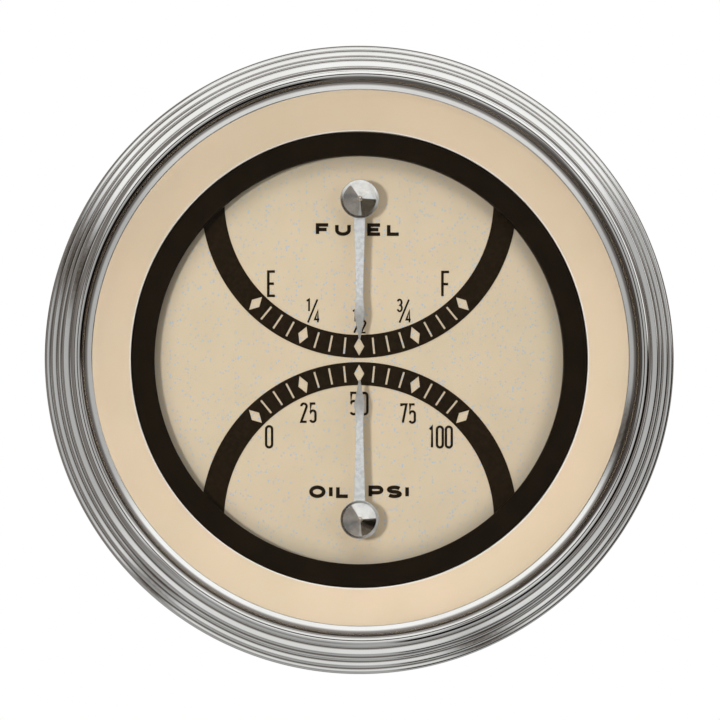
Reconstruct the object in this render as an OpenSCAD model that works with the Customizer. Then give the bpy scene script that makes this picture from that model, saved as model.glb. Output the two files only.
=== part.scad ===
// Dual fuel and oil gauge for an 86 mm panel hole, all sizes in millimetres.
// The dial faces -Y, +Z is up, and the origin is on the dial's axis where the bezel meets the panel.
// Each piece is drawn with x to the right, y up and z towards the reader, then stood up by upright().

/* [Case] */
// Outside diameter of the drawn steel cup, which passes through the panel hole
case_od = 84.6; // [83.4:0.1:85.2]
// Depth of the cup behind the panel
case_depth = 38; // [36.5:0.5:44]
// Thickness of the cup's steel
case_wall = 0.9; // [0.7:0.1:1.2]
// Outside radius of the cup's rear corner
case_corner_r = 3; // [2:0.5:4]

/* [Bezel] */
// Distance that the bezel reaches past the cup all round
bezel_reach = 3.75; // [3.4:0.05:4.4]
// Thickness of the bezel's spun sheet
bezel_wall = 0.7; // [0.5:0.1:0.8]
// Width of the rolled rear edge that rests on the panel
curl_width = 2.6; // [2:0.1:2.9]
// Width of the outermost tread
tread_1 = 0.85; // [0.7:0.05:1]
// Width of the second tread
tread_2 = 1; // [0.8:0.05:1.2]
// Width of the third tread
tread_3 = 0.65; // [0.5:0.05:0.8]
// Width of the innermost tread
tread_4 = 1.25; // [1:0.05:1.4]
// Height of the riser between the first two treads
rise_1 = 1.45; // [1.1:0.05:1.6]
// Height of the riser between the second and third treads
rise_2 = 1.35; // [1.1:0.05:1.6]
// Height of the riser between the third and fourth treads
rise_3 = 1.3; // [1.1:0.05:1.6]
// Height that a tread gains from its outer to its inner edge
tread_slope = 0.14; // [0.05:0.01:0.2]
// Radius of the treads' rounded outer edges
tread_round = 0.5; // [0.3:0.05:0.5]
// Width of the round bead inside the treads
bead_width = 2.1; // [1.7:0.05:2.2]
// Height of the bead above the innermost tread
bead_height = 2; // [1.6:0.1:2.4]
// Width of the sloping lip between the bead and the lens
lip_width = 1.15; // [0.9:0.05:1.4]
// Height that the lip gains from its inner to its outer edge
lip_rise = 0.2; // [0.1:0.05:0.5]

/* [Lens and rings] */
// Thickness of the flat glass lens
lens_thick = 2; // [1.5:0.1:2.5]
// Thickness of the gasket behind the lens
gasket_thick = 0.6; // [0.4:0.1:0.8]
// Thickness of the outer dial ring's clamped flange
ring_flange = 2; // [1.6:0.1:2.4]
// Width of the sloping dial ring inside the case
ring_width = 7.7; // [7.2:0.1:8.2]
// Height that the dial ring falls from the lens to its inner edge
ring_drop = 3; // [2.6:0.1:3.1]
// Thickness of the sloping dial ring at its inner edge
ring_edge = 0.25; // [0.15:0.05:0.4]
// Width of the raised chapter ring
chapter_width = 3.4; // [2.9:0.1:4]
// Height of the chapter ring above the dial
chapter_height = 2; // [1.6:0.1:2.2]

/* [Dial] */
// Thickness of the dial plate
dial_thick = 0.8; // [0.5:0.1:1]
// Distance of each pointer's pivot from the chapter ring's inner edge
pivot_inset = 6.5; // [6:0.1:6.8]
// Gap between the two scale bands where they come closest
scale_gap = 0.6; // [0.3:0.1:1]
// Width of a scale band
scale_width = 3.4; // [3:0.1:3.8]
// Thickness of the printed scale
scale_thick = 0.06; // [0.04:0.01:0.1]
// Angle from one diamond of a scale to the next
diamond_pitch = 22.5; // [20:0.5:23]
// Length of a diamond along the band's radius
diamond_length = 2.7; // [2.2:0.1:2.9]
// Width of a diamond across the band
diamond_width = 1.5; // [1.2:0.1:1.7]
// Length of a tick
tick_length = 2.4; // [1.8:0.1:2.6]
// Width of a tick
tick_width = 0.28; // [0.2:0.02:0.36]

/* [Pointers] */
// Distance that a pointer's tip reaches over its scale band
pointer_reach = 0.7; // [0.2:0.1:0.8]
// Width of a pointer where it leaves the hub
pointer_root_w = 1.75; // [1.4:0.05:2]
// Width of a pointer at its narrowest place before the leaf
pointer_waist_w = 1.15; // [0.9:0.05:1.3]
// Width of the leaf near a pointer's tip
pointer_leaf_w = 1.75; // [1.5:0.05:2]
// Thickness of a pointer
pointer_thick = 0.3; // [0.2:0.05:0.4]
// Height of a pointer above the dial
pointer_lift = 2; // [1.6:0.1:2.2]
// Radius of the hub cap's flange
hub_flange_r = 2.85; // [2.6:0.05:3]
// Radius of the hub cap's cone at its foot
hub_cone_r = 2.3; // [2:0.05:2.5]
// Height of the hub cap
hub_height = 1.8; // [1.4:0.1:2]
// Radius of a spindle
spindle_r = 0.6; // [0.5:0.05:0.7]
// Angle that a pointer swings to each side of the middle of its scale
swing = 48; // [45:1:50]

/* [Movements] */
// Gap between the dial plate and the chassis plate
dial_gap = 2.2; // [2:0.1:2.6]
// Thickness of the chassis plate
chassis_thick = 1; // [0.8:0.1:1.4]
// Gap between the chassis plate and the case's wall
chassis_gap = 2.9; // [1.9:0.1:3.5]
// Radius of a movement's rotor magnet
magnet_r = 5; // [4.5:0.1:5.2]
// Thickness of a movement's rotor magnet
magnet_thick = 3.6; // [3:0.1:4]
// Half of a bobbin's square body
bobbin_half = 6.2; // [6:0.1:6.4]
// Height of a bobbin's body
bobbin_height = 10; // [9:0.2:10.4]
// Thickness of a coil's winding
coil_thick = 1.6; // [1.2:0.1:1.7]
// Outside radius of a shield can
can_r = 12.3; // [12.1:0.1:12.8]
// Thickness of a shield can's steel
can_wall = 0.6; // [0.4:0.1:0.7]
// Thickness of the circuit board
board_thick = 1.6; // [1.2:0.1:2]

/* [Rear fittings] */
// Distance of a mounting stud from the middle
stud_offset = 16; // [15.5:0.1:17]
// Radius of a mounting stud's thread
stud_r = 2.4; // [2.1:0.1:2.6]
// Length of a mounting stud behind the case
stud_length = 26; // [24:0.5:30]
// Radius of a terminal stud's thread
terminal_r = 2; // [1.7:0.1:2.2]
// Length of a terminal stud behind the case
terminal_length = 11; // [9.5:0.5:14]
// Distance from one terminal to the next, as a share of the case's radius
terminal_spacing = 0.284; // [0.26:0.004:0.292]
// Distance of a row of terminals outwards from the pivot before it
terminal_shift = 1.5; // [1:0.1:2]
// Distance of a lamp's axis from the case's wall
lamp_inset = 10.4; // [10:0.1:10.8]
// Angle of a lamp from the horizontal
lamp_angle = 35; // [33:1:38]
// Radius of a lamp socket's hole, as a share of the case's radius
lamp_share = 0.17; // [0.16:0.002:0.178]
// Radius of a lamp's glass
bulb_r = 4.6; // [4:0.1:5.2]

/* [Clamp] */
// Width of the clamp's strap
clamp_width = 14; // [12:0.5:14.5]
// Thickness of the clamp's strap
clamp_thick = 1.5; // [1:0.1:1.8]
// Gap between a clamp leg and the case
clamp_gap = 1.5; // [1.3:0.1:1.6]
// Thickness of the panel that the clamp is set for
panel_thick = 3; // [2.8:0.1:6]
// Distance from the case's back to the clamp's bridge
bridge_gap = 5.4; // [5.2:0.1:7]
// Inside radius of the clamp's two bends
bend_r = 2; // [1.5:0.1:3]
// Radius of a thumb nut
thumb_r = 6.5; // [6:0.1:7.5]
// Height of a thumb nut
thumb_height = 7.5; // [6.5:0.5:8]

/* [Hidden] */
$fn = 96;
ARC_STEPS = 6;
SIDES = [-1, 1];
CUT = 1; // how far a cutting shape runs past the face it cuts

// Clearances
press_gap = 0.05; // between pieces that are put together without play
run_gap = 0.05;   // round a turning spindle or nut, on the radius
free_gap = 0.3;   // round anything that moves past a wall
print_gap = 0.01; // between the printed bands and the chapter ring

// Radii of the case and the bezel
case_r = case_od / 2;
case_inner_r = case_r - case_wall;
bezel_r = case_r + bezel_reach;
curl_inner_r = bezel_r - curl_width;
flange_r = bezel_r - bezel_wall - press_gap;
riser_1_r = bezel_r - tread_1;
riser_2_r = riser_1_r - tread_2;
riser_3_r = riser_2_r - tread_3;
bead_r = riser_3_r - tread_4;
bead_inner_r = bead_r - bead_width;
lip_r = bead_inner_r - lip_width;

// Heights of what the bezel clamps, from the panel outwards
case_flange_z = bezel_wall + case_wall;
ring_z = case_flange_z + ring_flange;
gasket_z = ring_z + gasket_thick;
lens_z = gasket_z + lens_thick;

// Heights of the bezel's treads, from the lens back to the rim
bead_step = 0.1;
bead_foot_z = lens_z + bezel_wall + bead_step;
bead_top_z = bead_foot_z + bead_height;
tread_4_z = bead_foot_z - tread_slope;
tread_3_z = tread_4_z - rise_3 - tread_slope;
tread_2_z = tread_3_z - rise_2 - tread_slope;
tread_1_z = tread_2_z - rise_1 - tread_slope;
lip_inner_z = lens_z + bezel_wall;
lip_outer_z = lip_inner_z + lip_rise;

// Radii of the bezel's rounded edges; the bead is all but round, and the narrow third tread has a smaller edge
bead_round = bead_width * 0.49;
narrow_round = tread_round * 0.75;
root_round = 0.1;

// Radii inside the bezel
lens_r = bead_r - bezel_wall - press_gap;
gasket_show = 0.6;
gasket_inner_r = lip_r + gasket_show;
ring_room = 0.5;
ring_outer_r = riser_2_r - bezel_wall - ring_room;
skirt_gap = 0.2;
skirt_depth = 0.6;
skirt_width = 3;
ring_skirt_r = case_inner_r - skirt_gap;
ring_inner_r = ring_skirt_r - ring_width;
ring_shoulder_r = 3;

// Radii on the dial
chapter_gap = 0.1;
chapter_outer_r = ring_inner_r - chapter_gap;
chapter_inner_r = chapter_outer_r - chapter_width;
pivot_offset = chapter_inner_r - pivot_inset;
scale_outer_r = pivot_offset - scale_gap / 2;
scale_inner_r = scale_outer_r - scale_width;
pointer_length = scale_inner_r + pointer_reach;
dial_room = 0.8;
dial_r = case_inner_r - dial_room;
spindle_hole_r = 2 * spindle_r;
slot_start = 0.14; // where a light slot begins and ends between the ring's inner edge and the dial's edge
slot_end = 0.56;
slot_inner_r = ring_inner_r + slot_start * (dial_r - ring_inner_r);
slot_outer_r = ring_inner_r + slot_end * (dial_r - ring_inner_r);
slot_angle = 40;

// Heights of the dial and what stands on it
chapter_step = 0.3;
ring_inner_z = ring_z - ring_drop;
chapter_top_z = ring_inner_z - chapter_step;
dial_z = chapter_top_z - chapter_height;
dial_back_z = dial_z - dial_thick;
pointer_z = dial_z + pointer_lift;
hub_z = pointer_z + pointer_thick;

// Heights of the chassis and the movements
chassis_r = case_inner_r - chassis_gap;
chassis_z = dial_back_z - dial_gap;
chassis_back_z = chassis_z - chassis_thick;
flange_thick = 1;
winding_gap = 0.2;
inner_coil_z = bobbin_height / 2 + winding_gap / 2;
outer_coil_z = inner_coil_z + coil_thick + winding_gap;
post_z = outer_coil_z + coil_thick + winding_gap;
movement_z = chassis_back_z - flange_thick - post_z;
movement_back_z = movement_z - post_z - flange_thick;
board_back_z = movement_back_z - board_thick;

// Spindle, its bearings and the boss that centres a movement in the chassis plate
magnet_room = 0.4;
bearing_wall = 0.6;
rear_bearing = bobbin_height / 2 - magnet_thick / 2 - magnet_room - bearing_wall;
spindle_end_z = movement_z - magnet_thick / 2 - magnet_room - rear_bearing;
spindle_grip = 0.6;
spindle_top_z = hub_z + spindle_grip;
boss_hole_r = 3;

// Bobbin posts stand in the corners between the coils and the shield can
bobbin_flange_r = can_r - can_wall - press_gap;
post_r = 1.3;
post_inset = 0.45;
post_at = (bobbin_flange_r - post_r - post_inset) / sqrt(2);
coil_split = 1.3;
coil_width = post_at - post_r - winding_gap - coil_split;
coil_corner_r = 1.2;

// Heights behind the case
back_z = -case_depth;
back_inner_z = back_z + case_wall;

// Dial screws and their spacers
dial_screw_r = 0.8;
dial_screw_head_r = 1.6;
dial_screw_end = 1.5;
dial_screw_at = (chapter_inner_r + chapter_outer_r) / 2;
dial_screw_angles = [60, 120, 240, 300];
screw_slot_w = 0.4;
screw_slot_depth = 0.35;
spacer_r = 2.3;

// Stop arm and the pins that it meets
stop_arm_length = 8;
stop_arm_w = 1.4;
stop_arm_thick = 0.6;
stop_hub_r = 1.7;
stop_arm_z = chassis_z + (dial_gap - stop_arm_thick) / 2;
stop_pin_r = 0.6;
stop_pin_at = 6;
stop_pin_play = 1;
stop_pin_angle = swing + asin((stop_arm_w / 2 + stop_pin_r) / stop_pin_at) + stop_pin_play;

// Chassis supports and wiring
chassis_screw_r = 1.5;
chassis_screw_length = 6;
chassis_head_r = 2.7;
chassis_head_h = 1.3;
chassis_window_r = 4;
tap_room = 1;
pillar_r = 3.2;
coil_pin_r = 0.4;
coil_pin_depth = 3;
coil_pin_end = 1;
board_gap = 0.4;
board_side_gap = 1.8;
board_waist = stud_offset - pillar_r - board_side_gap;
board_lobe_r = dial_r - pivot_offset - board_gap;
resistor_r = 1.5;
resistor_length = 8;
resistor_at = board_waist - 4 * resistor_r;

// Terminals
terminal_pitch = terminal_spacing * case_r;
terminal_row = pivot_offset + terminal_shift;
terminal_neck_r = terminal_r - 0.5;
terminal_shoulder_r = terminal_r + 1;
terminal_washer_thick = 0.6;
terminal_nut_r = 4;
terminal_nut_thick = 3;
insulator_r = 4.5;
insulator_flange = 1.2;
insulator_step = 0.4;

// Lamps
lamp_offset = case_inner_r - lamp_inset;
lamp_hole_r = lamp_share * case_r;
socket_gap = 0.15;
socket_r = lamp_hole_r - socket_gap;
socket_flange_r = lamp_hole_r + 1;
socket_flange = 0.8;
socket_rear_step = 0.8;
socket_rear_r = socket_r - socket_rear_step;
socket_wall = 0.5;
socket_inner_length = 10;
socket_rear_length = 6;
socket_front_z = back_z + socket_inner_length;
socket_rear_z = back_z - socket_rear_length;
contact_disc = 2;
contact_set = 0.6;
blade_width = 6.3;
blade_thick = 0.8;
blade_length = 7;
plunger_r = 1.5;
bulb_seat = 4;
bulb_seat_z = socket_front_z - bulb_seat;
bulb_length = 16;
bulb_foot = 5.5;
bulb_foot_z = bulb_seat_z - bulb_foot;
bulb_contact_r = 1.6;
bulb_cap_r = bulb_r - 0.2;
bulb_cap_rise = 2;
bulb_cap_length = 10;
bulb_neck_r = bulb_r - 0.8;
bulb_neck_rise = 1;
bulb_pear_rise = 3;
bulb_pear_r = 1.5;
bulb_ring_h = 0.8;

// Clamp
leg_inner_x = case_r + clamp_gap;
leg_outer_x = leg_inner_x + clamp_thick;
foot_z = -panel_thick;
bridge_z = back_z - bridge_gap;
bridge_back_z = bridge_z - clamp_thick;
washer_thick = 0.8;
washer_r = 5;
washer_gap = 0.15;
nut_z = bridge_back_z - washer_thick;
nut_collar = 1.5;
nut_shoulder = 1.2;
stud_nut_r = 4.6;
stud_nut_thick = 2.4;

// Geometry helpers

function unit(v) = v / norm(v);
function wrap(a) = a > 180 ? a - 360 : a < -180 ? a + 360 : a;

// Points of the arc that rounds the corner b between a and c
function corner_arc(a, b, c, r) =
    let (
        u = unit(a - b),
        v = unit(c - b),
        half = acos(u * v) / 2,
        centre = b + unit(u + v) * r / sin(half),
        first = b + u * r / tan(half) - centre,
        last = b + v * r / tan(half) - centre,
        start = atan2(first.y, first.x),
        sweep = wrap(atan2(last.y, last.x) - start)
    )
    [for (i = [0 : ARC_STEPS])
        let (angle = start + sweep * i / ARC_STEPS) centre + r * [cos(angle), sin(angle)]];

// A closed outline whose corners are rounded: each corner is [x, y, radius]
function rounded(corners) =
    let (n = len(corners), at = function (i) [corners[(i + n) % n].x, corners[(i + n) % n].y])
    [for (i = [0 : n - 1])
        each corners[i][2] == 0 ? [at(i)] : corner_arc(at(i - 1), at(i), at(i + 1), corners[i][2])];

module upright() {
    rotate([90, 0, 0]) children();
}

// Puts a piece drawn about the fuel pivot there, or turned half round at the oil pivot
module at_fuel() {
    upright() translate([0, pivot_offset, 0]) children();
}

module at_oil() {
    upright() translate([0, -pivot_offset, 0]) rotate([0, 0, 180]) children();
}

module at_lamp(side) {
    rotate([0, 0, side > 0 ? lamp_angle : lamp_angle + 180]) translate([lamp_offset, 0, 0])
        rotate([0, 0, -lamp_angle]) children();
}

module at_terminals() {
    for (row = SIDES, i = [-1 : 1]) translate([i * terminal_pitch, row * terminal_row, 0]) children();
}

module at_studs() {
    for (side = SIDES) translate([side * stud_offset, 0, 0]) children();
}

module at_dial_screws() {
    for (a = dial_screw_angles) rotate([0, 0, a]) translate([dial_screw_at, 0, 0]) children();
}

module at_posts() {
    for (x = SIDES, y = SIDES) translate([x * post_at, y * post_at, 0]) children();
}

// A round bar or disc from height a to height b
module disc(r, a, b) {
    translate([0, 0, a]) cylinder(r = r, h = b - a);
}

// A flat ring from height a to height b
module washer(outer, inner, a, b) {
    difference() {
        disc(outer, a, b);
        disc(inner, a - CUT, b + CUT);
    }
}

module hexagon(r, a, b) {
    translate([0, 0, a]) cylinder(r = r, h = b - a, $fn = 6);
}

// Case and bezel

module case_shell() {
    outer = [
        [0, back_z, 0], [case_r, back_z, case_corner_r], [case_r, bezel_wall, 0.2],
        [flange_r, bezel_wall, 0], [flange_r, case_flange_z, 0], [case_inner_r, case_flange_z, 0.6],
        [case_inner_r, back_inner_z, case_corner_r - case_wall], [0, back_inner_z, 0]
    ];
    color("silver") upright() difference() {
        rotate_extrude() polygon(rounded(outer));
        for (side = SIDES) at_lamp(side) disc(lamp_hole_r, back_z - CUT, back_inner_z + CUT);
        at_studs() disc(stud_r + press_gap, back_z - CUT, back_inner_z + CUT);
        at_terminals() disc(terminal_shoulder_r + press_gap, back_z - CUT, back_inner_z + CUT);
    }
}

// The spun bezel: rolled edge, rim, four treads, round bead and the lip over the lens
module bezel() {
    w = bezel_wall;
    section = [
        [curl_inner_r, 0, 0.3], [bezel_r, 0, 0.6], [bezel_r, tread_1_z, tread_round],
        [riser_1_r, tread_1_z + tread_slope, root_round], [riser_1_r, tread_2_z, tread_round],
        [riser_2_r, tread_2_z + tread_slope, root_round], [riser_2_r, tread_3_z, narrow_round],
        [riser_3_r, tread_3_z + tread_slope, root_round], [riser_3_r, tread_4_z, tread_round],
        [bead_r, bead_foot_z, root_round], [bead_r, bead_top_z, bead_round],
        [bead_inner_r, bead_top_z, bead_round], [bead_inner_r, lip_outer_z, root_round],
        [lip_r, lip_inner_z, 0.2], [lip_r, lens_z, 0.2],
        [bead_r - w, lens_z, 0], [bead_r - w, tread_4_z - w, 0],
        [riser_3_r - w, tread_4_z - w, 0], [riser_3_r - w, tread_3_z - w, 0],
        [riser_2_r - w, tread_3_z - w, 0], [riser_2_r - w, tread_2_z - w, 0],
        [riser_1_r - w, tread_2_z - w, 0], [riser_1_r - w, tread_1_z - w, 0],
        [bezel_r - w, tread_1_z - w, 0], [bezel_r - w, w, 0], [curl_inner_r, w, 0.3]
    ];
    color("gainsboro") upright() rotate_extrude() polygon(rounded(section));
}

module lens() {
    color([0.85, 0.92, 0.95, 0.3]) upright() disc(lens_r, gasket_z, lens_z);
}

module lens_gasket() {
    color("dimgray") upright() washer(lens_r, gasket_inner_r, ring_z, gasket_z);
}

// Dial

// The sloping ring between the bezel and the chapter ring, with its clamped flange
module dial_ring() {
    skirt_z = case_flange_z - skirt_depth;
    section = [
        [ring_inner_r, ring_inner_z - ring_edge, 0], [ring_skirt_r - skirt_width, skirt_z, 0.5],
        [ring_skirt_r, skirt_z, 0], [ring_skirt_r, case_flange_z, 0], [ring_outer_r, case_flange_z, 0],
        [ring_outer_r, ring_z, 0], [lip_r, ring_z, ring_shoulder_r], [ring_inner_r, ring_inner_z, 0]
    ];
    color("wheat") upright() rotate_extrude() polygon(rounded(section));
}

// The raised black ring round the two scales
module chapter_ring() {
    section = [
        [chapter_inner_r, dial_z, 0], [chapter_outer_r, dial_z, 0],
        [chapter_outer_r, chapter_top_z, 0.12], [chapter_inner_r, chapter_top_z, 0.12]
    ];
    color([0.12, 0.09, 0.05]) upright() rotate_extrude() polygon(rounded(section));
}

module dial_plate() {
    color("wheat") upright() difference() {
        disc(dial_r, dial_back_z, dial_z);
        for (side = SIDES) translate([0, side * pivot_offset, 0])
            disc(spindle_hole_r, dial_back_z - CUT, dial_z + CUT);
        at_dial_screws() {
            disc(dial_screw_r + press_gap, dial_back_z - CUT, dial_z + CUT);
            translate([0, 0, dial_back_z])
                cylinder(r1 = dial_screw_r + press_gap, r2 = dial_screw_head_r, h = dial_thick);
        }
        // light from the lamps passes these slots and comes out under the sloping ring
        for (a = [0 : 90 : 270]) rotate([0, 0, a + 45 - slot_angle / 2]) translate([0, 0, dial_back_z - CUT])
            rotate_extrude(angle = slot_angle) translate([slot_inner_r, 0])
                square([slot_outer_r - slot_inner_r, dial_thick + 2 * CUT]);
    }
}

// The band's shape about its pivot, with the scale below it: diamonds, and ticks between them, are left bare
module scale_band() {
    ticks_between = 3;
    tick_pitch = diamond_pitch / (ticks_between + 1);
    middle_r = (scale_inner_r + scale_outer_r) / 2;
    half_w = diamond_width / 2;
    half_l = diamond_length / 2;
    difference() {
        circle(r = scale_outer_r);
        circle(r = scale_inner_r);
        for (i = [-2 : 2]) rotate(i * diamond_pitch) translate([0, -middle_r])
            polygon([[0, -half_l], [half_w, 0], [0, half_l], [-half_w, 0]]);
        for (i = [-2 : 1], k = [1 : ticks_between]) rotate(i * diamond_pitch + k * tick_pitch)
            translate([0, -middle_r]) square([tick_width, tick_length], center = true);
    }
}

// The printed band, cut off where it reaches the chapter ring
module printed_scale() {
    translate([0, 0, dial_z]) linear_extrude(scale_thick) intersection() {
        translate([0, pivot_offset]) scale_band();
        circle(r = chapter_inner_r - print_gap);
    }
}

module fuel_scale() {
    color([0.16, 0.12, 0.07]) upright() printed_scale();
}

module oil_scale() {
    color([0.16, 0.12, 0.07]) upright() rotate([0, 0, 180]) printed_scale();
}

module dial_spacers() {
    color("silver") upright() at_dial_screws()
        washer(spacer_r, dial_screw_r + press_gap, chassis_z, dial_back_z);
}

module dial_screws() {
    color("silver") upright() at_dial_screws() difference() {
        union() {
            disc(dial_screw_r, chassis_back_z - dial_screw_end, dial_back_z);
            translate([0, 0, dial_back_z])
                cylinder(r1 = dial_screw_r, r2 = dial_screw_head_r - press_gap, h = dial_thick);
        }
        translate([-dial_screw_head_r, -screw_slot_w / 2, dial_z - screw_slot_depth])
            cube([2 * dial_screw_head_r, screw_slot_w, CUT]);
    }
}

// Chassis

module chassis_plate() {
    color("lightsteelblue") upright() difference() {
        disc(chassis_r, chassis_back_z, chassis_z);
        for (side = SIDES) {
            translate([0, side * pivot_offset, 0]) disc(boss_hole_r, chassis_back_z - CUT, chassis_z + CUT);
            at_lamp(side) disc(socket_r - socket_wall, chassis_back_z - CUT, chassis_z + CUT);
            rotate([0, 0, 180 - 2 * lamp_angle]) at_lamp(side)
                disc(chassis_window_r, chassis_back_z - CUT, chassis_z + CUT);
            translate([0, side * pivot_offset, 0]) for (s = SIDES) rotate([0, 0, s * stop_pin_angle])
                translate([0, side * stop_pin_at, 0]) disc(stop_pin_r, chassis_back_z - CUT, chassis_z + CUT);
        }
        at_dial_screws() disc(dial_screw_r, chassis_back_z - CUT, chassis_z + CUT);
        at_studs() disc(chassis_screw_r + press_gap, chassis_back_z - CUT, chassis_z + CUT);
    }
}

module chassis_screws() {
    color("silver") upright() at_studs() difference() {
        union() {
            disc(chassis_screw_r, chassis_back_z - chassis_screw_length, chassis_z);
            disc(chassis_head_r, chassis_z, chassis_z + chassis_head_h);
        }
        translate([-chassis_head_r - CUT, -screw_slot_w / 2, chassis_z + chassis_head_h / 2])
            cube([2 * (chassis_head_r + CUT), screw_slot_w, chassis_head_h]);
    }
}

module stop_pins() {
    color("goldenrod") upright() for (side = SIDES, s = SIDES) translate([0, side * pivot_offset, 0])
        rotate([0, 0, s * stop_pin_angle]) translate([0, side * stop_pin_at, 0])
            disc(stop_pin_r, chassis_back_z, dial_back_z - free_gap);
}

// A pillar inside the case that carries the chassis and ends behind the case as a mounting stud
module mounting_studs() {
    color("silver") upright() at_studs() difference() {
        union() {
            disc(pillar_r, back_inner_z, chassis_back_z);
            disc(stud_r, back_z - stud_length, back_inner_z);
        }
        disc(chassis_screw_r, chassis_back_z - chassis_screw_length - tap_room, chassis_back_z + CUT);
    }
}

module stud_nuts() {
    color("silver") upright() at_studs() difference() {
        hexagon(stud_nut_r, back_z - stud_nut_thick, back_z);
        disc(stud_r, back_z - stud_nut_thick - CUT, back_z + CUT);
    }
}

// Clamp

module clamp_strap() {
    profile = [
        [-leg_outer_x, foot_z, 0], [-leg_outer_x, bridge_back_z, bend_r + clamp_thick],
        [leg_outer_x, bridge_back_z, bend_r + clamp_thick], [leg_outer_x, foot_z, 0],
        [leg_inner_x, foot_z, 0], [leg_inner_x, bridge_z, bend_r],
        [-leg_inner_x, bridge_z, bend_r], [-leg_inner_x, foot_z, 0]
    ];
    color("lightgray") upright() difference() {
        translate([0, clamp_width / 2, 0]) rotate([90, 0, 0])
            linear_extrude(clamp_width) polygon(rounded(profile));
        at_studs() disc(stud_r + free_gap, bridge_back_z - CUT, bridge_z + CUT);
    }
}

module clamp_washers() {
    color("silver") upright() at_studs() washer(washer_r, stud_r + washer_gap, nut_z, bridge_back_z);
}

// A fluted thumb nut with a plain collar towards the clamp
module thumb_nut() {
    flutes = 20;
    flute_depth = 0.35;
    rim = [for (i = [0 : 4 * flutes - 1])
        let (a = i * 90 / flutes, r = thumb_r - (i % 4 < 2 ? 0 : flute_depth)) [r * cos(a), r * sin(a)]];
    difference() {
        union() {
            disc(thumb_r - nut_shoulder, nut_z - nut_collar, nut_z);
            translate([0, 0, nut_z - thumb_height]) linear_extrude(thumb_height - nut_collar) polygon(rim);
        }
        disc(stud_r + run_gap, nut_z - thumb_height - CUT, nut_z + CUT);
    }
}

module thumb_nut_left() {
    color("gold") upright() translate([-stud_offset, 0, 0]) thumb_nut();
}

module thumb_nut_right() {
    color("gold") upright() translate([stud_offset, 0, 0]) thumb_nut();
}

// Wiring behind the movements

module circuit_board() {
    color("darkgreen") upright() difference() {
        translate([0, 0, board_back_z]) linear_extrude(board_thick) union() {
            for (side = SIDES) translate([0, side * pivot_offset]) circle(r = board_lobe_r);
            square([2 * board_waist, 2 * pivot_offset], center = true);
        }
        at_terminals() disc(terminal_neck_r + press_gap, board_back_z - CUT, movement_back_z + CUT);
        for (side = SIDES) translate([0, side * pivot_offset, 0]) at_posts()
            disc(coil_pin_r + press_gap, board_back_z - CUT, movement_back_z + CUT);
    }
}

module resistors() {
    half = resistor_length / 2;
    color("tan") upright() for (side = SIDES) translate([side * resistor_at, 0, board_back_z - resistor_r])
        rotate([90, 0, 0]) rotate_extrude() polygon(rounded([
            [0, -half, 0], [resistor_r, -half, 0.4], [resistor_r, half, 0.4], [0, half, 0]
        ]));
}

// A terminal: a shouldered stud from the circuit board out through the case
module terminal_studs() {
    color("goldenrod") upright() at_terminals() union() {
        disc(terminal_neck_r, board_back_z, movement_back_z - press_gap);
        disc(terminal_shoulder_r, back_inner_z + insulator_flange, board_back_z);
        disc(terminal_r, back_z - terminal_length, back_inner_z + insulator_flange);
    }
}

// Insulating bushes, with a flange on each side of the case's back
module terminal_insulators() {
    section = [
        [terminal_r + press_gap, back_z - insulator_flange, 0], [insulator_r, back_z - insulator_flange, 0.3],
        [insulator_r, back_z, 0], [terminal_shoulder_r, back_z, 0], [terminal_shoulder_r, back_inner_z, 0],
        [insulator_r - insulator_step, back_inner_z, 0],
        [insulator_r - insulator_step, back_inner_z + insulator_flange, 0],
        [terminal_r + press_gap, back_inner_z + insulator_flange, 0]
    ];
    color("saddlebrown") upright() at_terminals() rotate_extrude() polygon(rounded(section));
}

module terminal_washers() {
    z = back_z - insulator_flange;
    color("silver") upright() at_terminals()
        washer(insulator_r - insulator_step, terminal_r + press_gap, z - terminal_washer_thick, z);
}

module terminal_nuts() {
    z = back_z - insulator_flange - terminal_washer_thick;
    color("gold") upright() at_terminals() difference() {
        hexagon(terminal_nut_r, z - terminal_nut_thick, z);
        disc(terminal_r, z - terminal_nut_thick - CUT, z + CUT);
    }
}

// Lamps

// A push-in lamp socket: thin barrel, flange on the case's back and a short rear cup
module lamp_socket() {
    inner_r = socket_r - socket_wall;
    cup_r = socket_rear_r - socket_wall;
    flange_z = back_z - socket_flange;
    section = [
        [inner_r, socket_front_z, 0], [socket_r, socket_front_z, 0.2], [socket_r, back_z, 0],
        [socket_flange_r, back_z, 0], [socket_flange_r, flange_z, 0.2], [socket_rear_r, flange_z, 0],
        [socket_rear_r, socket_rear_z, 0.3], [cup_r, socket_rear_z, 0], [cup_r, flange_z, 0],
        [inner_r, back_z, 0]
    ];
    rotate_extrude() polygon(rounded(section));
}

// The insulating disc in the socket's rear with its flat contact blade and the plunger under the bulb
module lamp_contact() {
    disc_z = socket_rear_z + contact_set;
    disc(socket_rear_r - socket_wall - press_gap, disc_z, disc_z + contact_disc);
    translate([-blade_width / 2, -blade_thick / 2, socket_rear_z - blade_length])
        cube([blade_width, blade_thick, blade_length + contact_set]);
    disc(plunger_r, disc_z + contact_disc, bulb_foot_z);
}

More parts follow.
